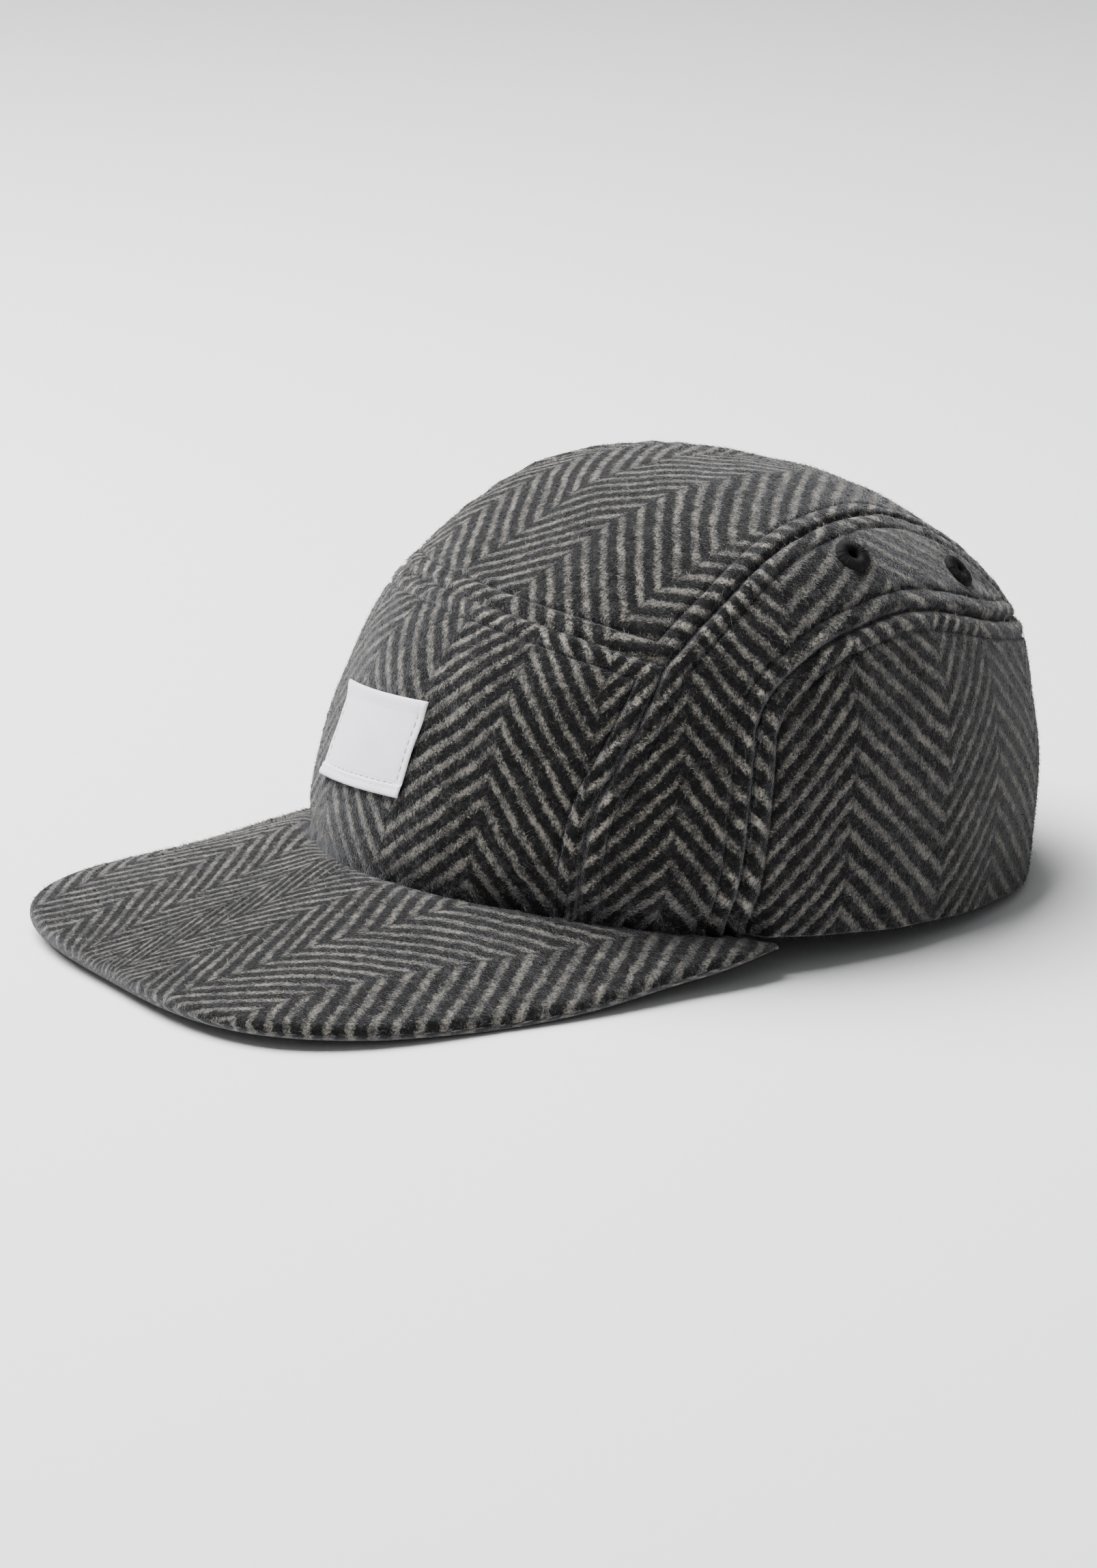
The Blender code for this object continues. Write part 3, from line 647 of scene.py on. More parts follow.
def wall_run(angle, rise):
    """Length of cloth from the rim up to a rise at an angle, read from a table over the crown."""
    angles, rises = np.linspace(0, 180, 91), np.linspace(0, 1, 121)
    grid = on_crown(angles[:, None], rises[None])
    steps = np.linalg.norm(np.diff(grid, axis=1), axis=-1)
    lengths = np.concatenate([np.zeros((91, 1)), np.cumsum(steps, axis=1)], 1)
    i = np.clip(off_front(angle) / 2, 0, 89.999)
    j = np.clip(np.asarray(rise) * 120, 0, 119.999)
    i0, j0 = i.astype(int), j.astype(int)
    u, v = i - i0, j - j0
    return ((lengths[i0, j0] * (1 - v) + lengths[i0, j0 + 1] * v) * (1 - u)
            + (lengths[i0 + 1, j0] * (1 - v) + lengths[i0 + 1, j0 + 1] * v) * u)


def read_columns(rows, place):
    """Column number at a place: straight lines between the table's rows, carried on at both ends."""
    x, y = np.array(column(rows, "place"), float), np.array(column(rows, "column"), float)
    place = np.asarray(place, float)
    inside = np.interp(place, x, y)
    before = (place - x[0]) * (y[1] - y[0]) / (x[1] - x[0])
    after = (place - x[-1]) * (y[-1] - y[-2]) / (x[-1] - x[-2])
    return inside + np.where(place < x[0], before, 0) + np.where(place > x[-1], after, 0)


def wall_weave(angle, rise):
    return np.stack([read_columns(WALL_COLUMNS, angle) * sizes().column_width, wall_run(angle, rise)], -1)


def band_weave(angle, rise):
    return np.stack([read_columns(BAND_COLUMNS, np.abs(angle)) * sizes().column_width,
                     wall_run(angle, rise)], -1)


def top_weave(angle, rise):
    """Columns from front to back; the length along them grows where the crown slopes."""
    point = on_crown(angle, rise)
    fall = sizes().crown_height - point[..., 2]
    return np.stack([read_columns(TOP_COLUMNS, point[..., 0]) * sizes().column_width,
                     point[..., 1] + 0.5 * fall * np.tanh(point[..., 1] / 0.03)], -1)


def peak_weave(point):
    """Columns that lean in towards the tip on both sides."""
    lean = point[..., 0] / np.hypot(point[..., 0], 0.015)
    number = 45.15 * point[..., 0] - 7.94 * point[..., 1] * lean - 0.539
    return np.stack([number * sizes().column_width, 1.055 * point[..., 1] - 0.05 * point[..., 0]], -1)


# Materials

class Value:
    """A socket in a material; arithmetic on it adds Math nodes."""

    def __init__(self, board, socket):
        self.board = board
        self.socket = socket

    def math(self, operation, *others):
        made = self.board.node("ShaderNodeMath", {"operation": operation},
                               dict(enumerate((self,) + others)))
        return Value(self.board, made.outputs[0])

    def __add__(self, other):
        return self.math("ADD", other)

    __radd__ = __add__

    def __sub__(self, other):
        return self.math("SUBTRACT", other)

    def __rsub__(self, other):
        return self.math("MULTIPLY_ADD", -1.0, other)

    def __mul__(self, other):
        return self.math("MULTIPLY", other)

    __rmul__ = __mul__

    def __truediv__(self, other):
        return self.math("DIVIDE", other)

    def eased(self, low, high):
        """0 below low, 1 above high, eased between."""
        made = self.board.node("ShaderNodeMapRange", {"interpolation_type": "SMOOTHSTEP"},
                               {"Value": self, "From Min": low, "From Max": high})
        return Value(self.board, made.outputs[0])


class Board:
    """A material's node tree with its Principled shader."""

    def __init__(self, name, **constants):
        self.material = bpy.data.materials.new(name)
        self.material.use_nodes = True
        self.tree = self.material.node_tree
        self.shader = self.tree.nodes["Principled BSDF"]
        for socket, value in constants.items():
            self.shader.inputs[socket.replace("_", " ")].default_value = value

    def node(self, kind, settings=None, sockets=None):
        """Any node: its type, its settings, and the values or links of its sockets."""
        made = self.tree.nodes.new(kind)
        for name, value in (settings or {}).items():
            setattr(made, name, value)
        for name, value in (sockets or {}).items():
            self.put(made.inputs[name], value)
        return made

    def put(self, socket, value):
        if isinstance(value, Value):
            self.tree.links.new(value.socket, socket)
        elif isinstance(value, bpy.types.NodeSocket):
            self.tree.links.new(value, socket)
        else:
            socket.default_value = value

    def noise(self, where, scale, detail=2.0, roughness=0.5):
        made = self.node("ShaderNodeTexNoise", {"noise_dimensions": "3D"},
                         {"Vector": where, "Scale": scale, "Detail": detail, "Roughness": roughness})
        return Value(self, made.outputs["Fac"])

    def vector(self, operation, first, second):
        made = self.node("ShaderNodeVectorMath", {"operation": operation}, {0: first, 1: second})
        return made.outputs[0]

    def join(self, x, y, z=0.0):
        return self.node("ShaderNodeCombineXYZ", None, {"X": x, "Y": y, "Z": z}).outputs[0]

    def split(self, vector):
        made = self.node("ShaderNodeSeparateXYZ", None, {"Vector": vector})
        return [Value(self, socket) for socket in made.outputs]

    def mix(self, share, first, second):
        made = self.node("ShaderNodeMix", {"data_type": "RGBA"}, {0: share, 6: first, 7: second})
        return made.outputs[2]

    def paint(self, share, first, second):
        """Base colour, between two colours."""
        self.put(self.shader.inputs["Base Color"], self.mix(share, first, second))

    def tone(self):
        return self.node("ShaderNodeAttribute", {"attribute_name": "tone"}).outputs["Fac"]

    def place(self):
        return self.node("ShaderNodeTexCoord").outputs["Object"]

    def weave(self):
        return self.node("ShaderNodeUVMap", {"uv_map": "weave"}).outputs["UV"]

    def bump(self, height, distance):
        made = self.node("ShaderNodeBump", None, {"Strength": 1.0, "Distance": distance, "Height": height})
        self.put(self.shader.inputs["Normal"], made.outputs["Normal"])


def rgba(value):
    return (*value, 1.0)


def wool_material():
    """Milled herringbone: roped light stripes climb and fall in turn along the columns, their edges and
    brightness broken by noise, under a felt of fine curled fibres; painted shade where a seam pinches the
    cloth, in the stitch grooves and in the creases over the peak seam, and a painted highlight on the seam
    ridges."""
    s, c = sizes(), colours()
    board = Board("wool_cloth", Roughness=0.95, Specular_IOR_Level=0.10, Sheen_Weight=0.46,
                  Sheen_Roughness=0.33, Sheen_Tint=(0.84, 0.85, 0.88, 1.0))
    at = board.place()
    shifted = board.vector("ADD", at, (3.1, 1.7, 5.3))
    u, v, _ = board.split(board.weave())
    u = u + (board.noise(at, 75.0, 1.0) - 0.5) * 0.0020 + (board.noise(at, 320.0, 2.0) - 0.5) * 0.0008
    v = v + (board.noise(shifted, 75.0, 1.0) - 0.5) * 0.0020
    v = v + (board.noise(shifted, 340.0, 2.0) - 0.5) * 0.0007
    number = u / s.column_width
    fold = number.math("PINGPONG", 1.0)
    turned = number.math("FLOOR").math("MODULO", 2.0).math("ABSOLUTE")
    slope = math.tan(math.radians(s.stripe_angle))
    phase = (v - fold * (s.column_width * slope)) / s.stripe_pitch + turned * COLUMN_STEP
    wave = (phase * (2 * math.pi)).math("COSINE")
    way = 1.0 - turned * 2.0
    along, across = u + v * way, v - u * way
    strands = board.noise(board.join(along + across * 0.9, (along - across) * 0.42), 1350.0, 2.0, 0.65)
    fray = board.noise(at, 1300.0, 3.0, 0.7)
    blotch = board.noise(shifted, 150.0, 2.0)
    patch = board.noise(at, 420.0, 2.0)
    rough_edge = (fray - 0.5) * 3.0 + (strands - 0.5) * 1.4 + (patch - 0.5) * 1.3
    mask = (wave + rough_edge).eased(-0.10, 1.40)
    turn = (fold - 0.5).math("ABSOLUTE").eased(0.46, 0.5)
    mask = mask * (1 - turn * 0.6)
    # The tone carries painted light: below 0 painted shade in seams, grooves and creases, above 0 a painted
    # highlight on the seam ridges
    form = Value(board, board.tone())
    ridge_highlight, crease_shade = form.math("MAXIMUM", 0.0), (form * -1.0).math("MAXIMUM", 0.0)
    mottle_and_highlight = (blotch - 0.5) * 2.0 + (strands - 0.5) * 2.4 + (patch - 0.5) * 1.9 + (fray - 0.5) * 1.6 + 0.44
    # Stripes on the seam ridges are made lighter by a painted highlight
    mottle_and_highlight = mottle_and_highlight.eased(0.0, 1.20) * (0.58 + ridge_highlight * 0.66)
    stripe = board.mix(mottle_and_highlight, rgba(0.10 * x for x in c.light_yarn), rgba(c.light_yarn))
    ground = board.mix(mask, rgba(c.dark_yarn), stripe)
    curl = board.node("ShaderNodeTexNoise", None, {"Vector": at, "Scale": 800.0, "Detail": 3.0,
                                                   "Roughness": 0.7, "Distortion": 1.6}).outputs["Fac"]
    wisp = Value(board, curl)
    line = 1 - (wisp - 0.5).math("ABSOLUTE") * 2.0
    fuzz = wisp.eased(0.50, 0.74) * 0.8 + line.eased(0.90, 1.0) * patch.eased(0.45, 0.65) * 0.5
    speck = board.noise(at, 3200.0, 2.0, 0.7)
    felt = board.mix(fuzz * 0.50 + speck.eased(0.56, 0.80) * 0.22, ground, rgba(c.haze))
    holes = speck.eased(0.46, 0.24) * 0.55 + wisp.eased(0.46, 0.28) * 0.45
    # Painted shade where the tone is below 0, laid over the dark gaps between the fibres
    board.paint((holes + crease_shade * 0.9).math("MINIMUM", 1.0), felt, rgba(c.shade_and_fibre_gaps))
    board.bump(mask * 0.00050 + strands * 0.00035 + fray * 0.00030 + fuzz * 0.00015 + speck * 0.00015, 1.0)
    return board.material


def fibre_material():
    """Single fibres, each of its own tone between the dark and the light yarn."""
    c = colours()
    board = Board("stray_fibres", Roughness=0.85, Specular_IOR_Level=0.15)
    base = board.mix(board.tone(), rgba(c.dark_yarn), (0.42, 0.40, 0.36, 1.0))
    speck = board.noise(board.place(), 900.0).eased(0.35, 0.65)
    board.paint(speck * 0.15, base, rgba(c.haze))
    return board.material


def label_material():
    """White satin: fine ribs across the label with a slight slub, and a faint ribbing along it."""
    c = colours()
    board = Board("label_satin", Roughness=0.55, Specular_IOR_Level=0.35, Sheen_Weight=0.15)
    u, v, _ = board.split(board.weave())
    slub = board.noise(board.join(u * 0.15, v, 0.0), 5200.0, 2.0)
    rib = ((v + (slub - 0.5) * 0.00008) * (2 * math.pi / 0.00036)).math("SINE")
    warp = ((u + (slub - 0.5) * 0.00005) * (2 * math.pi / 0.00030)).math("SINE")
    shade = (rib * 0.5 + 0.5) * 0.10 + (warp * 0.5 + 0.5) * 0.05
    cloud = board.noise(board.place(), 120.0).eased(0.35, 0.7) * 0.06
    board.paint(shade + cloud, rgba(c.label), rgba(0.72 * x for x in c.label))
    board.put(board.shader.inputs["Roughness"], 0.5 + slub * 0.15)
    board.bump(rib * 0.00003 + warp * 0.000015 + slub * 0.00002, 1.0)
    return board.material


def thread_material(name, tone, roughness, pitch):
    """Twisted thread: slanting plies in the bump, with dust and lint in the colour."""
    board = Board(name, Roughness=roughness, Specular_IOR_Level=0.2)
    x, y, z = board.split(board.place())
    ply = ((x + y * 0.7 + z * 1.3) * (2 * math.pi / pitch)).math("SINE")
    lint = board.noise(board.place(), 1500.0, 3.0, 0.65)
    board.paint(lint.eased(0.60, 0.85) * 0.4, rgba(tone), rgba(min(1.0, x + 0.03) for x in tone))
    board.bump(ply * 0.00004 + lint * 0.00008, 1.0)
    return board.material


def floor_material():
    """Pale matt studio board with a faint grain."""
    board = Board("studio_floor", Roughness=0.85, Specular_IOR_Level=0.2)
    grain = board.noise(board.place(), 260.0, 3.0)
    floor = colours().floor
    board.paint(grain.eased(0.3, 0.7) * 0.08, rgba(floor), rgba(0.9 * x for x in floor))
    board.put(board.shader.inputs["Roughness"], 0.8 + grain * 0.1)
    return board.material


def material(name, maker, *details):
    """The material of that name, made once."""
    return bpy.data.materials.get(name) or maker(*details)


def wool():
    return material("wool_cloth", wool_material)


def black():
    return material("worked_thread", thread_material, "worked_thread", tuple(colours().black_thread),
                    0.7, 0.0005)


# Cloth pieces

def eyelet_places():
    """Angle, rise and name of each eyelet, on both sides."""
    return [(sign * row.angle, row.rise, f"{side}_{row.name}")
            for side, sign in (("left", 1), ("right", -1)) for row in EYELETS]


def wool_sheet(node, outer, inner, keep, normal, uv, form, sharp):
    sample = normal[:-1, :-1][keep]
    sheet(node, outer, inner, keep, sample[len(sample) // 2], wool(), "herringbone_wool", uv, sharp, form)
    grow_pile(node, outer, normal, keep, form, uv[0])
    grow_fibres(node, outer, normal, keep, form)


def cloth_panel(name, angle, rise, seams, weave, holes=()):
    """Crown panel as a closed sheet: outer side raised by the relief, inner side one cloth below it, the
    two brought together at the rim by a quarter circle."""
    s = sizes()
    away, fullness, openness = seam_distance(on_crown(angle, rise), seams)
    base, normal, relief, pull = dressed(angle, rise, away, fullness, openness)
    over_rim, off = above_rim(angle, base), off_front(angle)
    half = s.cloth / 2
    low = np.clip(1 - over_rim / half, 0, 1)
    turn_in = half * (1 - np.sqrt(1 - low * low))
    shift = middle_shift()
    outer = base + normal * (relief - pull - turn_in)[..., None] + shift
    inner = base - normal * (s.cloth - INNER_RELIEF * relief + pull - turn_in)[..., None] + shift
    keep = every_cell(angle)
    middle = (base[:-1, :-1] + base[1:, 1:]) / 2
    for place in holes:
        keep &= np.linalg.norm(middle - on_crown(*place), axis=-1) > HOLE_RADIUS
    over_seam = over_rim - peak_depth(angle)
    # Painted shade in the crevice over the peak seam and in its puckers, taller towards the sides, laid over
    # the seams' painted light in the tone
    crevice_shade = smooth(1 - over_seam / (CREVICE_SHADE + CREVICE_SHADE_GAIN * smooth(off / SIDEWAYS)))
    crevice_shade = np.maximum(crevice_shade * (off < PEAK_CORNER_ANGLE),
                         pucker(angle, over_seam, PUCKER_SHADE_WIDTH, PUCKER_SHADE))
    form = seam_shade_and_highlight(away, openness) * (1 - crevice_shade) - crevice_shade
    wove = weave(angle, rise)
    wool_sheet(name, outer, inner, keep, normal, (wove, wove), form, 60)


def rooted(rng, density, outer, normal, keep, form, *grids):
    """Seeded roots spread evenly by area over a grid's kept cells, but none where the cloth is pinched:
    their places, normals, random headings along the cloth, the directions across both, and the given
    grids' values there."""
    a, b, d = outer[:-1, :-1], outer[:-1, 1:], outer[1:, :-1]
    area = np.linalg.norm(np.cross(b - a, d - a), axis=-1) * keep
    count = int(density * SQUARE_CENTIMETRES * area.sum())
    i, j = np.unravel_index(rng.choice(area.size, count, p=(area / area.sum()).ravel()), area.shape)
    u, v = rng.uniform(0, 1, (2, count, 1))
    up = normal[i, j]
    way = unit(np.cross(up, rng.normal(size=(count, 3))))
    root, stand, *there = (g[i, j] + (g[i, j + 1] - g[i, j]) * u + (g[i + 1, j] - g[i, j]) * v
                           for g in (outer, form[..., None], *grids))
    clear = stand[:, 0] > PINCHED
    return [values[clear] for values in (root, up, way, np.cross(up, way), *there)]


def hairs(name, points, faces, tone):
    """Mesh of many hairs of one form, a row of points for each, kept off the floor."""
    count, size = points.shape[:2]
    points[..., 2] = np.maximum(points[..., 2], FLOOR_CLEARANCE)
    item = mesh_object(name, points.reshape(-1, 3), [copies(f, count, size) for f in faces],
                       material("stray_fibres", fibre_material), tone=np.repeat(tone, size))
    finish_piece(item, "herringbone_wool")


def stripe_share(weave):
    """How light the herringbone is at weave coordinates: the cosine of the phase that climbs and falls
    with the columns, eased."""
    s = sizes()
    number = weave[..., 0] / s.column_width
    fold = 1 - np.abs(number % 2 - 1)
    climb = s.column_width * math.tan(math.radians(s.stripe_angle))
    phase = (weave[..., 1] - fold * climb) / s.stripe_pitch + (np.floor(number) % 2) * COLUMN_STEP
    return smooth((np.cos(2 * math.pi * phase) + 0.2) / 1.1)


def grow_pile(name, outer, normal, keep, form, weave):
    """Brushed pile: short four-faced spikes that lean every way off the cloth, light where they root in
    a light stripe and dark elsewhere."""
    rng = np.random.default_rng(sum(name.encode()) + 1)
    root, up, way, side, place = rooted(rng, sizes().pile, outer, normal, keep, form, weave)
    count = len(root)
    long = rng.uniform(0.0007, 0.0018, (count, 1))
    lean = rng.uniform(0.10, 0.75, (count, 1)) ** 1.5
    tip = root + (way * np.sqrt(1 - lean ** 2) + up * lean) * long
    thin = rng.uniform(0.000050, 0.000090, (count, 1, 1))
    foot = (root - up * ROOT_DEPTH)[:, None] + spokes(side, up, 3) * thin
    light = stripe_share(place) * rng.uniform(0.25, 0.95, count)
    tone = np.where(rng.uniform(size=count) < 0.09, rng.uniform(0.1, 0.4, count), light + 0.015)
    hairs(name + "_pile", np.concatenate([foot, tip[:, None]], axis=1),
          [np.array([[0, 2, 1], [0, 1, 3], [1, 2, 3], [2, 0, 3]])], tone)


def grow_fibres(name, outer, normal, keep, form):
    """Stray fibres: thin three-sided spikes of three rings, whose heading turns steadily along the cloth
    while they lift off it and sink back."""
    rng = np.random.default_rng(sum(name.encode()))
    root, up, way, side = rooted(rng, sizes().fibres, outer, normal, keep, form)
    count = len(root)
    long = rng.gamma(4.0, 0.00055, (count, 1))
    lift = np.where(rng.uniform(size=(count, 1)) < 0.3, rng.uniform(0.2, 0.6, (count, 1)),
                    rng.uniform(0.06, 0.18, (count, 1))) * long
    curl = rng.normal(0, 1.5, (count, 1))
    curl = np.where(np.abs(curl) < 0.3, 0.3, curl)
    thin = rng.uniform(0.000018, 0.000032, (count, 1, 1))
    shares = np.linspace(0, 1, 4)
    centres = [root + long / curl * (way * np.sin(curl * t) + side * (1 - np.cos(curl * t)))
               + up * (lift * math.sin(2.6 * t) - ROOT_DEPTH) for t in shares]
    rings = [centre[:, None] + spokes(up, side * np.cos(curl * t) - way * np.sin(curl * t), 3)
             * thin * (1 - 0.5 * t) for centre, t in zip(centres[:-1], shares)]
    last, tip = 3 * len(rings) - 3, 3 * len(rings)
    ends = np.array([[0, 2, 1]] + [[last + k, last + (k + 1) % 3, tip] for k in range(3)])
    tone = np.where(rng.uniform(size=count) < 0.25, rng.uniform(0.35, 0.9, count),
                    rng.uniform(0.05, 0.3, count))
    hairs(name + "_fibres", np.concatenate(rings + [centres[-1][:, None]], axis=1),
          [tube_quads(len(rings), 3)[:, ::-1], ends[:, ::-1]], tone)


class CAP_OT_front_panel(bpy.types.Operator):
    """Cloth of the front panel, between the temple seams and the cross seam"""

    bl_idname = "cap.front_panel"
    bl_label = "Front panel"

    def execute(self, context):
        u, v = np.meshgrid(2 * clustered(180, 3.0, 0.05) - 1, clustered(86, 4.0, 0.09))
        rise = v * top_seam(u)[1]
        angle = u * temple_angle(rise)
        cloth_panel("front_panel", angle, rise, ("cross", "temple_left", "temple_right"), wall_weave)
        return {"FINISHED"}


class CAP_OT_top_panel(bpy.types.Operator):
    """Cloth of the top panel, a tongue from the cross seam to the back"""

    bl_idname = "cap.top_panel"
    bl_label = "Top panel"

    def execute(self, context):
        u = 2 * clustered(130, 4.0, 0.07) - 1
        t = clustered(170, 4.0, 0.05)
        seam = along_path(crown_seam(240), t)
        left = on_crown(seam[:, 0], seam[:, 1])[:, :2]
        right = left * (-1, 1)
        front_angle, front_rise = top_seam(u)
        front = on_crown(temple_angle(front_rise) * u, front_rise)[:, :2]
        rear_angle = 180 - u * (180 - REAR_POINT_ANGLE)
        rear = on_crown(rear_angle, arch_rise(rear_angle))[:, :2]
        s, t = ((u + 1) / 2)[None, :, None], t[:, None, None]
        plan = (right[:, None] * (1 - s) + left[:, None] * s + front[None] * (1 - t) + rear[None] * t
                - (right[0] * (1 - s) + left[0] * s) * (1 - t) - (right[-1] * (1 - s) + left[-1] * s) * t)
        angle, rise = locate(plan[..., 0], plan[..., 1])
        cloth_panel("top_panel", angle, rise, ("cross", "crown_left", "crown_right", "rear"), top_weave)
        return {"FINISHED"}


class CAP_OT_side_panels(bpy.types.Operator):
    """Cloth of the two side bands, with the holes of their eyelets"""

    bl_idname = "cap.side_panels"
    bl_label = "Side panels"

    def execute(self, context):
        lines = seam_lines()
        share = clustered(256, 2.0, 0.02)
        upper = np.concatenate([lines["temple_left"], lines["crown_left"][1:]])
        upper = along_path(upper, share)[:, None]
        lower = along_path(lines["ear_left"], share)[:, None]
        t = clustered(64, 3.0, 0.12)[None, :, None]
        place = upper * (1 - t) + lower * t
        for side, sign in (("left", 1), ("right", -1)):
            holes = [(angle, rise) for angle, rise, name in eyelet_places() if angle * sign > 0]
            cloth_panel("side_panel_" + side, sign * place[..., 0], place[..., 1],
                        ("temple_" + side, "crown_" + side, "ear_" + side), band_weave, holes)
        return {"FINISHED"}


class CAP_OT_back_panel(bpy.types.Operator):
    """Cloth of the back panel, from ear to ear"""

    bl_idname = "cap.back_panel"
    bl_label = "Back panel"

    def execute(self, context):
        angles = EAR_SEAM[0] + (360 - 2 * EAR_SEAM[0]) * clustered(310, 2.5, 0.02)
        height = arch_rise(angles)
        rise = clustered(74, 4.0, 0.09)[:, None] * height
        angle = np.broadcast_to(angles, rise.shape).copy()
        cloth_panel("back_panel", angle, rise, ("ear_left", "rear", "ear_right"), wall_weave)
        return {"FINISHED"}


def peak_edge(u):
    """Outer edge of the peak's middle surface, from u = -1 at one corner to 1 at the other: a turning
    radius through the table's rows from the middle of the corner line."""
    s = sizes()
    corner = on_crown(PEAK_CORNER_ANGLE, 0.0)
    reach = [v * s.peak_reach for v in column(PEAK_ROWS, "reach")] + [corner[0] + PEAK_CORNER_STEP]
    lift = [s.peak_thickness / 2 + v * s.peak_edge_lift for v in column(PEAK_ROWS, "lift")]
    lift = lift + [seam_height(PEAK_CORNER_ANGLE) - s.peak_edge_thickness]
    radius = mirrored_spline(reach, np.abs(u))
    turn = np.radians(90 * u)
    return np.stack([radius * np.sin(turn), corner[1] - radius * np.cos(turn),
                     mirrored_spline(lift, np.abs(u))], -1)


class CAP_OT_peak(bpy.types.Operator):
    """Padded peak, covered in the same cloth, which wraps round its edge"""

    bl_idname = "cap.peak"
    bl_label = "Peak"

    def execute(self, context):
        s = sizes()
        u = np.linspace(-1, 1, 281)
        u = np.sin(u * math.pi / 2) * 0.35 + u * 0.65
        angle = u * PEAK_CORNER_ANGLE
        wall, level, relief, pull = dressed(angle, np.zeros_like(angle))
        depth = peak_depth(angle) + s.peak_edge_thickness
        inner_edge = wall + level * (relief - pull - PEAK_BITE)[:, None]
        inner_edge[:, 2] = seam_height(angle) - depth / 2
        outer_edge = peak_edge(u)
        flat = np.linspace(0, 1, 60)[:-1] ** 0.9
        nose = np.sin(np.linspace(0, math.pi / 2, 11))
        width = np.linalg.norm(outer_edge - inner_edge, axis=-1)
        nose_share = np.minimum(s.peak_thickness / 2 / width, 0.5)
        share = np.concatenate([flat[:, None] * (1 - nose_share),
                                1 - nose_share + nose[:, None] * nose_share])
        swell = np.concatenate([np.ones(len(flat)), np.sqrt(np.maximum(1 - nose ** 2, 0.0))])
        middle = inner_edge * (1 - share[..., None]) + outer_edge * share[..., None]
        gap = share * width
        uneven = rippled(middle, PEAK_RIPPLES) * smooth(gap / 0.01) * swell[:, None]
        half = swell[:, None] * depth / 2
        top, under = middle.copy(), middle.copy()
        top[..., 2] += half + uneven - ROLL_OFF * bell(gap, ROLL_OFF_WIDTH)
        under[..., 2] = np.maximum(under[..., 2] + 0.4 * uneven - half, 0)
        shift = middle_shift()
        wrap = (1 - swell[:, None]) * s.peak_thickness / 2
        outward = (outer_edge - inner_edge) / width[:, None]
        uv_top = peak_weave(middle + outward * wrap[..., None])
        uv_under = peak_weave(middle + outward * (wrap + 2 * (share > 0.99) * (half.max() - half))[..., None])
        upright = np.zeros_like(top)
        upright[..., 2] = 1.0
        # The form here is painted shade along the peak's join to the crown, carried as the tone
        wool_sheet("peak", top + shift, under + shift, every_cell(top), upright, (uv_top, uv_under),
                   -bell(gap, PEAK_JOIN_SHADE_WIDTH), 75)
        return {"FINISHED"}


def front_place(x, up):
    """Angle and rise on the front panel at a distance x from the midline and a length up from the rim."""
    ladder = np.linspace(0, 1, 300)
    run = run_along(on_crown(0.0, ladder))
    rise = np.interp(up, run, ladder)
    angle = np.degrees(x / np.abs(on_crown(0.0, rise)[..., 1] - section(rise)[2]))
    for _ in range(6):
        reached = on_crown(angle, rise)[..., 0]
        angle = angle * np.where(np.abs(x) < 1e-6, 1, x / np.where(np.abs(reached) < 1e-7, 1, reached))
    return angle, rise


def label_surface(x, up, lift):
    """Label point: the front cloth there, raised along its normal."""
    ladder = np.linspace(0, 1, 300)
    s = sizes()
    start = np.interp(s.label_base_rise, ladder, run_along(on_crown(0.0, ladder)))
    climb = x * math.tan(math.radians(s.label_slant))
    angle, rise = front_place(x + s.label_offset, start + up + climb)
    base, normal, relief, pull = dressed(angle, rise)
    return base + normal * (relief - pull + lift)[..., None] + middle_shift(), normal


class CAP_OT_label(bpy.types.Operator):
    """Bare woven label, its ends folded under and its four sides sewn down"""

    bl_idname = "cap.label"
    bl_label = "Label"

    def execute(self, context):
        s = sizes()
        half_width, height = s.label_width / 2, s.label_height
        x, up = np.meshgrid(np.linspace(-half_width, half_width, 81), np.linspace(0, height, 61))
        from_side = half_width - np.abs(x)
        from_end = np.minimum(up, height - up)
        fold = 0.00028 * smooth((0.0034 - from_end) / 0.0008)
        rows = [(height - up, TOP_ROW), *((up, row) for row in FOOT_ROWS), (from_side, SIDE_ROW)]
        pulled = sum(ROW_DENT * bell(gap - place, ROW_WIDTH) for gap, place in rows)
        wave = 0.00022 * ripple(np.stack([x, up, 0 * x], -1), 0.012, 21)
        corner = 0.0006 * smooth(1 - np.hypot(from_side, from_end) / 0.006)
        edge = np.clip(1 - np.minimum(from_side, from_end) / 0.0003, 0, 1)
        round_off = s.label_thickness / 2 * (1 - np.sqrt(1 - 0.98 * edge ** 2))
        lift = LABEL_REST + wave + corner
        top, normal = label_surface(x, up, lift + s.label_thickness + fold - pulled - round_off)
        back, _ = label_surface(x, up, lift + round_off)
        place = np.stack([x, up], -1)
        sheet("label", top, back, every_cell(x), normal[45, 60], material("label_satin", label_material),
              "woven_label", (place, place), 70)
        self.sew(half_width, height)
        return {"FINISHED"}

    def sew(self, half_width, height):
        """Running stitches inside the label's four sides, two rows at its foot."""
        starts, ways = [], []
        pitch, stitch = 0.0023, 0.0015
        across = np.arange(-half_width + 0.0022, half_width - 0.0035, pitch)
        for level in (*FOOT_ROWS, height - TOP_ROW):
            starts.append(np.stack([across, np.full_like(across, level)], -1))
            ways.append(np.tile((stitch, 0.0), (len(across), 1)))
        climb = np.arange(0.0046, height - 0.0046, pitch)
        for place in (-half_width + SIDE_ROW, half_width - SIDE_ROW):
            starts.append(np.stack([np.full_like(climb, place), climb], -1))
            ways.append(np.tile((0.0, stitch), (len(climb), 1)))
        start, way = np.concatenate(starts), np.concatenate(ways)
        t = np.linspace(0, 1, 5)[None, :, None]
        path = start[:, None] + way[:, None] * t
        centre, normal = label_surface(path[..., 0], path[..., 1],
                                       0.00096 + 0.00012 * np.sin(math.pi * t[..., 0]))
        stitch_mesh("label_stitches", centre, normal, 0.00016,
                    material("label_thread", thread_material, "label_thread",
                             tuple(colours().label_thread), 0.6, 0.0004), "woven_label")


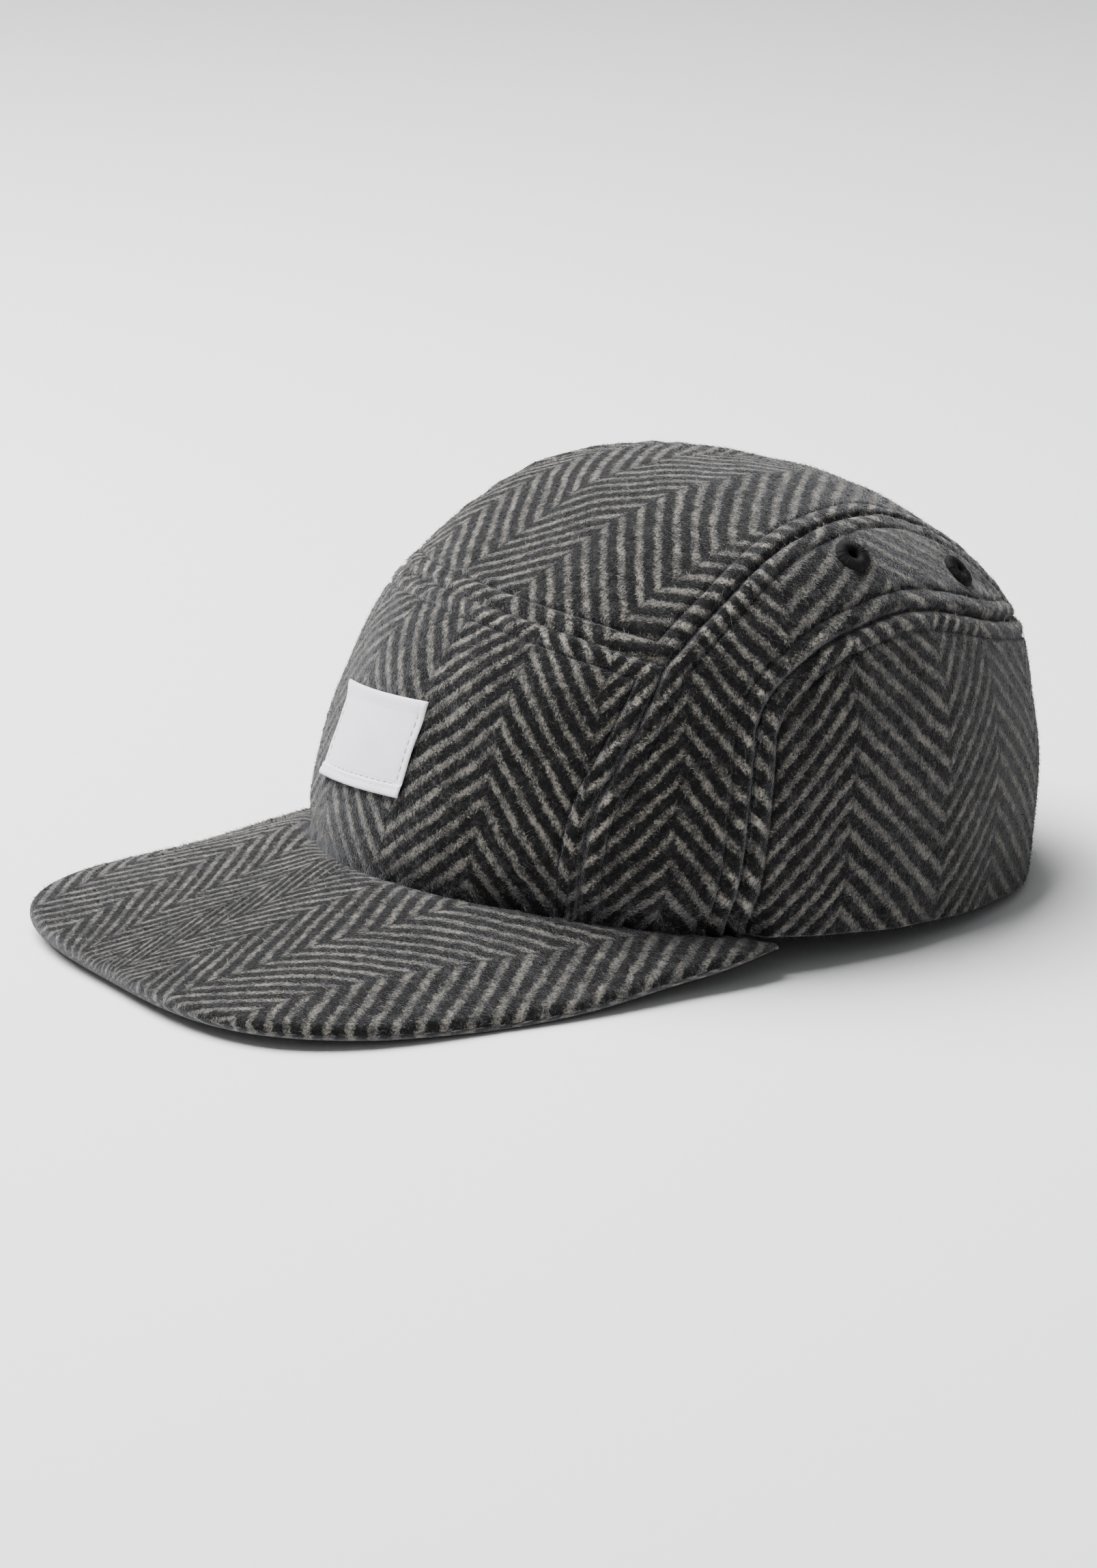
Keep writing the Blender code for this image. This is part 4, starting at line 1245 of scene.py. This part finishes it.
def stitch_mesh(name, centre, normal, radius, finish, slot):
    """Stitches as small sausages: six-sided rings carried along each short path, closed at both ends."""
    (count, rings), sides = centre.shape[:2], 6
    way = unit(np.gradient(centre, axis=1))
    side = unit(np.cross(normal, way))
    girth = radius * np.sin(math.pi * np.linspace(0.12, 0.88, rings)) ** 0.5
    points = centre[:, :, None] + spokes(side, np.cross(way, side), sides) * girth[:, None, None]
    near = np.arange(sides)[None]
    near, far = near[:, ::-1], near + (rings - 1) * sides
    quads, *caps = (copies(faces, count, rings * sides) for faces in (tube_quads(rings, sides), near, far))
    item = mesh_object(name, points.reshape(-1, 3), [quads, np.concatenate(caps)], finish)
    finish_piece(item, slot)


class CAP_OT_topstitching(bpy.types.Operator):
    """Black topstitching that runs beside every seam of the crown"""

    bl_idname = "cap.topstitching"
    bl_label = "Topstitching"

    def execute(self, context):
        s = sizes()
        lines = seam_lines()
        centres, normals = [], []
        for name, line in lines.items():
            for hand in (-1, 1):
                path = evenly(np.stack(self.beside(line, hand * s.stitch_offset), -1), 600)
                run = run_along(on_crown(path[:, 0], path[:, 1]))
                first = np.arange(0.004, run[-1] - 0.006, s.stitch_pitch)
                where = first[:, None] + np.linspace(0, 0.8 * s.stitch_pitch, 5)
                centre, normal, keep = self.lay(*(np.interp(where, run, path[:, k]) for k in (0, 1)), lines)
                centres.append(centre[keep])
                normals.append(normal[keep])
        stitch_mesh("topstitching", np.concatenate(centres), np.concatenate(normals), 0.00018, black(),
                    "black_thread")
        return {"FINISHED"}

    def beside(self, line, offset):
        """A line beside a seam: each point is moved sideways over the crown by the offset, in angle and
        rise that are solved from the surface's two differences."""
        angle, rise = line.T
        rise = np.clip(rise, 0.004, 0.99)
        point = on_crown(angle, rise)
        side = np.cross(crown_normal(angle, rise), unit(np.gradient(point, axis=0))) * offset
        da = (on_crown(angle + 0.2, rise) - on_crown(angle - 0.2, rise)) / 0.4
        dr = (on_crown(angle, rise + 0.003) - on_crown(angle, rise - 0.003)) / 0.006
        aa, ar, rr = (da * da).sum(1), (da * dr).sum(1), (dr * dr).sum(1)
        pa, pr = (side * da).sum(1), (side * dr).sum(1)
        whole = aa * rr - ar * ar
        return angle + (pa * rr - pr * ar) / whole, rise + (pr * aa - pa * ar) / whole

    def lay(self, angle, rise, lines):
        """Stitch centres in their groove, and which of them lie clear of the other seams and the rim."""
        s = sizes()
        base = on_crown(angle, rise)
        away, fullness, openness = seam_distance(base, list(lines))
        base, normal, relief, pull = dressed(angle, rise, away, fullness, openness)
        arch = 0.00010 * np.sin(np.linspace(0, math.pi, angle.shape[1])) - 0.00016
        centre = base + normal * (relief - pull + arch)[..., None] + middle_shift()
        clear = ((away.min(1) > 0.8 * s.stitch_offset) & (rise.min(1) > 0.0)
                 & (above_rim(angle, base).min(1) > peak_depth(angle).max(1) + 0.0015))
        return centre, normal, clear


class CAP_OT_eyelets(bpy.types.Operator):
    """Four worked eyelets in black thread"""

    bl_idname = "cap.eyelets"
    bl_label = "Eyelets"

    def execute(self, context):
        for angle, rise, name in eyelet_places():
            self.eyelet("eyelet_" + name, angle, rise)
        return {"FINISHED"}

    def eyelet(self, name, angle, rise):
        """A ring turned from a closed outline, with radial stitches: the height and the outer radius vary
        with the cosine of the turn times the number of stitches."""
        s = sizes()
        place = on_crown(angle, rise) + middle_shift()
        normal = crown_normal(np.array(angle), np.array(rise))
        turn = Vector(normal).to_track_quat("Z", "Y").to_matrix().to_4x4()
        grid = Matrix.Translation(Vector(place)) @ turn
        bore, rim, floor = s.eyelet_bore, s.eyelet_radius, -s.cloth - 0.0008
        outline = np.array([
            (bore, 0.0000), (bore, 0.0006), (bore + 0.0004, 0.0011), (bore + 0.0011, 0.00135),
            (bore + 0.0020, 0.00125), (rim - 0.0008, 0.00095), (rim - 0.0002, 0.00055), (rim, 0.0001),
            (rim - 0.0005, -0.0009), (0.0031, -0.0009), (0.0028, -0.0012), (0.0028, floor),
            (rim - 0.0010, floor), (rim - 0.0013, floor - 0.0006), (bore + 0.0006, floor - 0.0007),
            (bore, floor - 0.0002)])
        outline = evenly(np.concatenate([outline, outline[:1]]), 39)[:-1]
        steps, stitches = 168, 56
        phi = 2 * math.pi * np.arange(steps) / steps
        rng = np.random.default_rng(sum(name.encode()))
        jitter = np.repeat(rng.uniform(-1, 1, stitches), steps // stitches)
        r, z = outline[:, 0][None], outline[:, 1][None]
        spread = smooth((r - bore) / (rim - bore))
        stitch = np.abs(np.cos(phi * stitches / 2))[:, None]
        upper = z > -0.0002
        z = z + np.where(upper, 0.00016 * (stitch - 0.6) + 0.00008 * jitter[:, None], 0)
        r = r + np.where(upper, spread * (0.00010 * jitter[:, None] + 0.00005 * stitch), 0)
        local = np.stack([r * np.cos(phi)[:, None], r * np.sin(phi)[:, None], z], -1).reshape(-1, 3)
        points = local @ np.array(grid.to_3x3()).T + np.array(grid.translation)
        i, j = np.meshgrid(np.arange(steps), np.arange(len(outline)), indexing="ij")
        i2, j2 = (i + 1) % steps, (j + 1) % len(outline)
        n = len(outline)
        quads = np.stack([i * n + j, i2 * n + j, i2 * n + j2, i * n + j2], -1).reshape(-1, 4)
        volume = np.einsum("ij,ij->i", local[quads[:, 0]],
                           np.cross(local[quads[:, 1]], local[quads[:, 2]])).sum()
        quads = quads if volume > 0 else quads[:, ::-1]
        item = mesh_object(name + "_thread", points, [quads], black(), sharp=80)
        finish_piece(item, "black_thread", name)


class CAP_OT_studio(bpy.types.Operator):
    """Pale floor, soft lights and the camera"""

    bl_idname = "cap.studio"
    bl_label = "Studio"

    def execute(self, context):
        studio = context.scene.cap_studio
        half = 6.0
        corners = np.array([(-half, -half, 0), (half, -half, 0), (half, half, 0), (-half, half, 0)], float)
        floor = mesh_object("studio_floor", corners, [np.array([[0, 1, 2, 3]])],
                            material("studio_floor", floor_material))
        self.light("top_softbox", (-0.58, -0.40, 1.38), 1.3, studio.top_light)
        self.light("side_softbox", (1.2, -1.3, 0.9), 1.2, studio.side_light)
        self.light("back_softbox", (-1.1, 1.0, 1.1), 1.2, studio.side_light)
        world = bpy.data.worlds.new("studio_sky")
        world.use_nodes = True
        sky = world.node_tree.nodes["Background"]
        sky.inputs["Color"].default_value = (0.97, 0.98, 1.0, 1.0)
        sky.inputs["Strength"].default_value = studio.sky
        context.scene.world = world
        self.camera(context, studio)
        return {"FINISHED"}

    def light(self, name, place, width, power):
        data = bpy.data.lights.new(name, "AREA")
        data.shape = "SQUARE"
        data.size = width
        data.energy = power
        item = bpy.data.objects.new(name, data)
        bpy.context.scene.collection.objects.link(item)
        item.location = place
        item.rotation_euler = (Vector((0, 0, 0.05)) - Vector(place)).to_track_quat("-Z", "Y").to_euler()

    def camera(self, context, studio):
        a, e, roll = (math.radians(v) for v in (studio.azimuth, studio.elevation, studio.roll))
        back = Vector((math.sin(a) * math.cos(e), -math.cos(a) * math.cos(e), math.sin(e)))
        right = Vector((math.cos(a), math.sin(a), 0))
        up = back.cross(right)
        right, up = (right * math.cos(roll) - up * math.sin(roll),
                     right * math.sin(roll) + up * math.cos(roll))
        data = bpy.data.cameras.new("camera")
        data.lens = studio.lens
        data.sensor_width = 36.0
        data.shift_x, data.shift_y = studio.shift
        item = bpy.data.objects.new("camera", data)
        context.scene.collection.objects.link(item)
        turn = Matrix((right, up, back)).transposed().to_4x4()
        item.matrix_world = Matrix.Translation(Vector(studio.target) + back * studio.distance) @ turn
        context.scene.camera = item


STEPS = (CAP_OT_front_panel, CAP_OT_top_panel, CAP_OT_side_panels, CAP_OT_back_panel, CAP_OT_peak,
         CAP_OT_label, CAP_OT_topstitching, CAP_OT_eyelets, CAP_OT_studio)


class CAP_PT_sidebar(bpy.types.Panel):
    """The cap's pieces in the order they are made"""

    bl_idname = "CAP_PT_sidebar"
    bl_label = "Five-panel cap"
    bl_space_type = "VIEW_3D"
    bl_region_type = "UI"
    bl_category = "Cap"

    def draw(self, context):
        for step in STEPS:
            self.layout.operator(step.bl_idname)
        for group in (context.scene.cap_sizes, context.scene.cap_colours, context.scene.cap_studio):
            for name in group.__annotations__:
                self.layout.prop(group, name)


CLASSES = (CapSizes, CapColours, StudioSettings, *STEPS, CAP_PT_sidebar)


def register():
    for item in CLASSES:
        bpy.utils.register_class(item)
    bpy.types.Scene.cap_sizes = PointerProperty(type=CapSizes)
    bpy.types.Scene.cap_colours = PointerProperty(type=CapColours)
    bpy.types.Scene.cap_studio = PointerProperty(type=StudioSettings)


def unregister():
    del bpy.types.Scene.cap_sizes, bpy.types.Scene.cap_colours, bpy.types.Scene.cap_studio
    for item in reversed(CLASSES):
        bpy.utils.unregister_class(item)


def main():
    register()
    for step in STEPS:
        group, name = step.bl_idname.split(".")
        getattr(getattr(bpy.ops, group), name)()


if __name__ == "__main__":
    main()
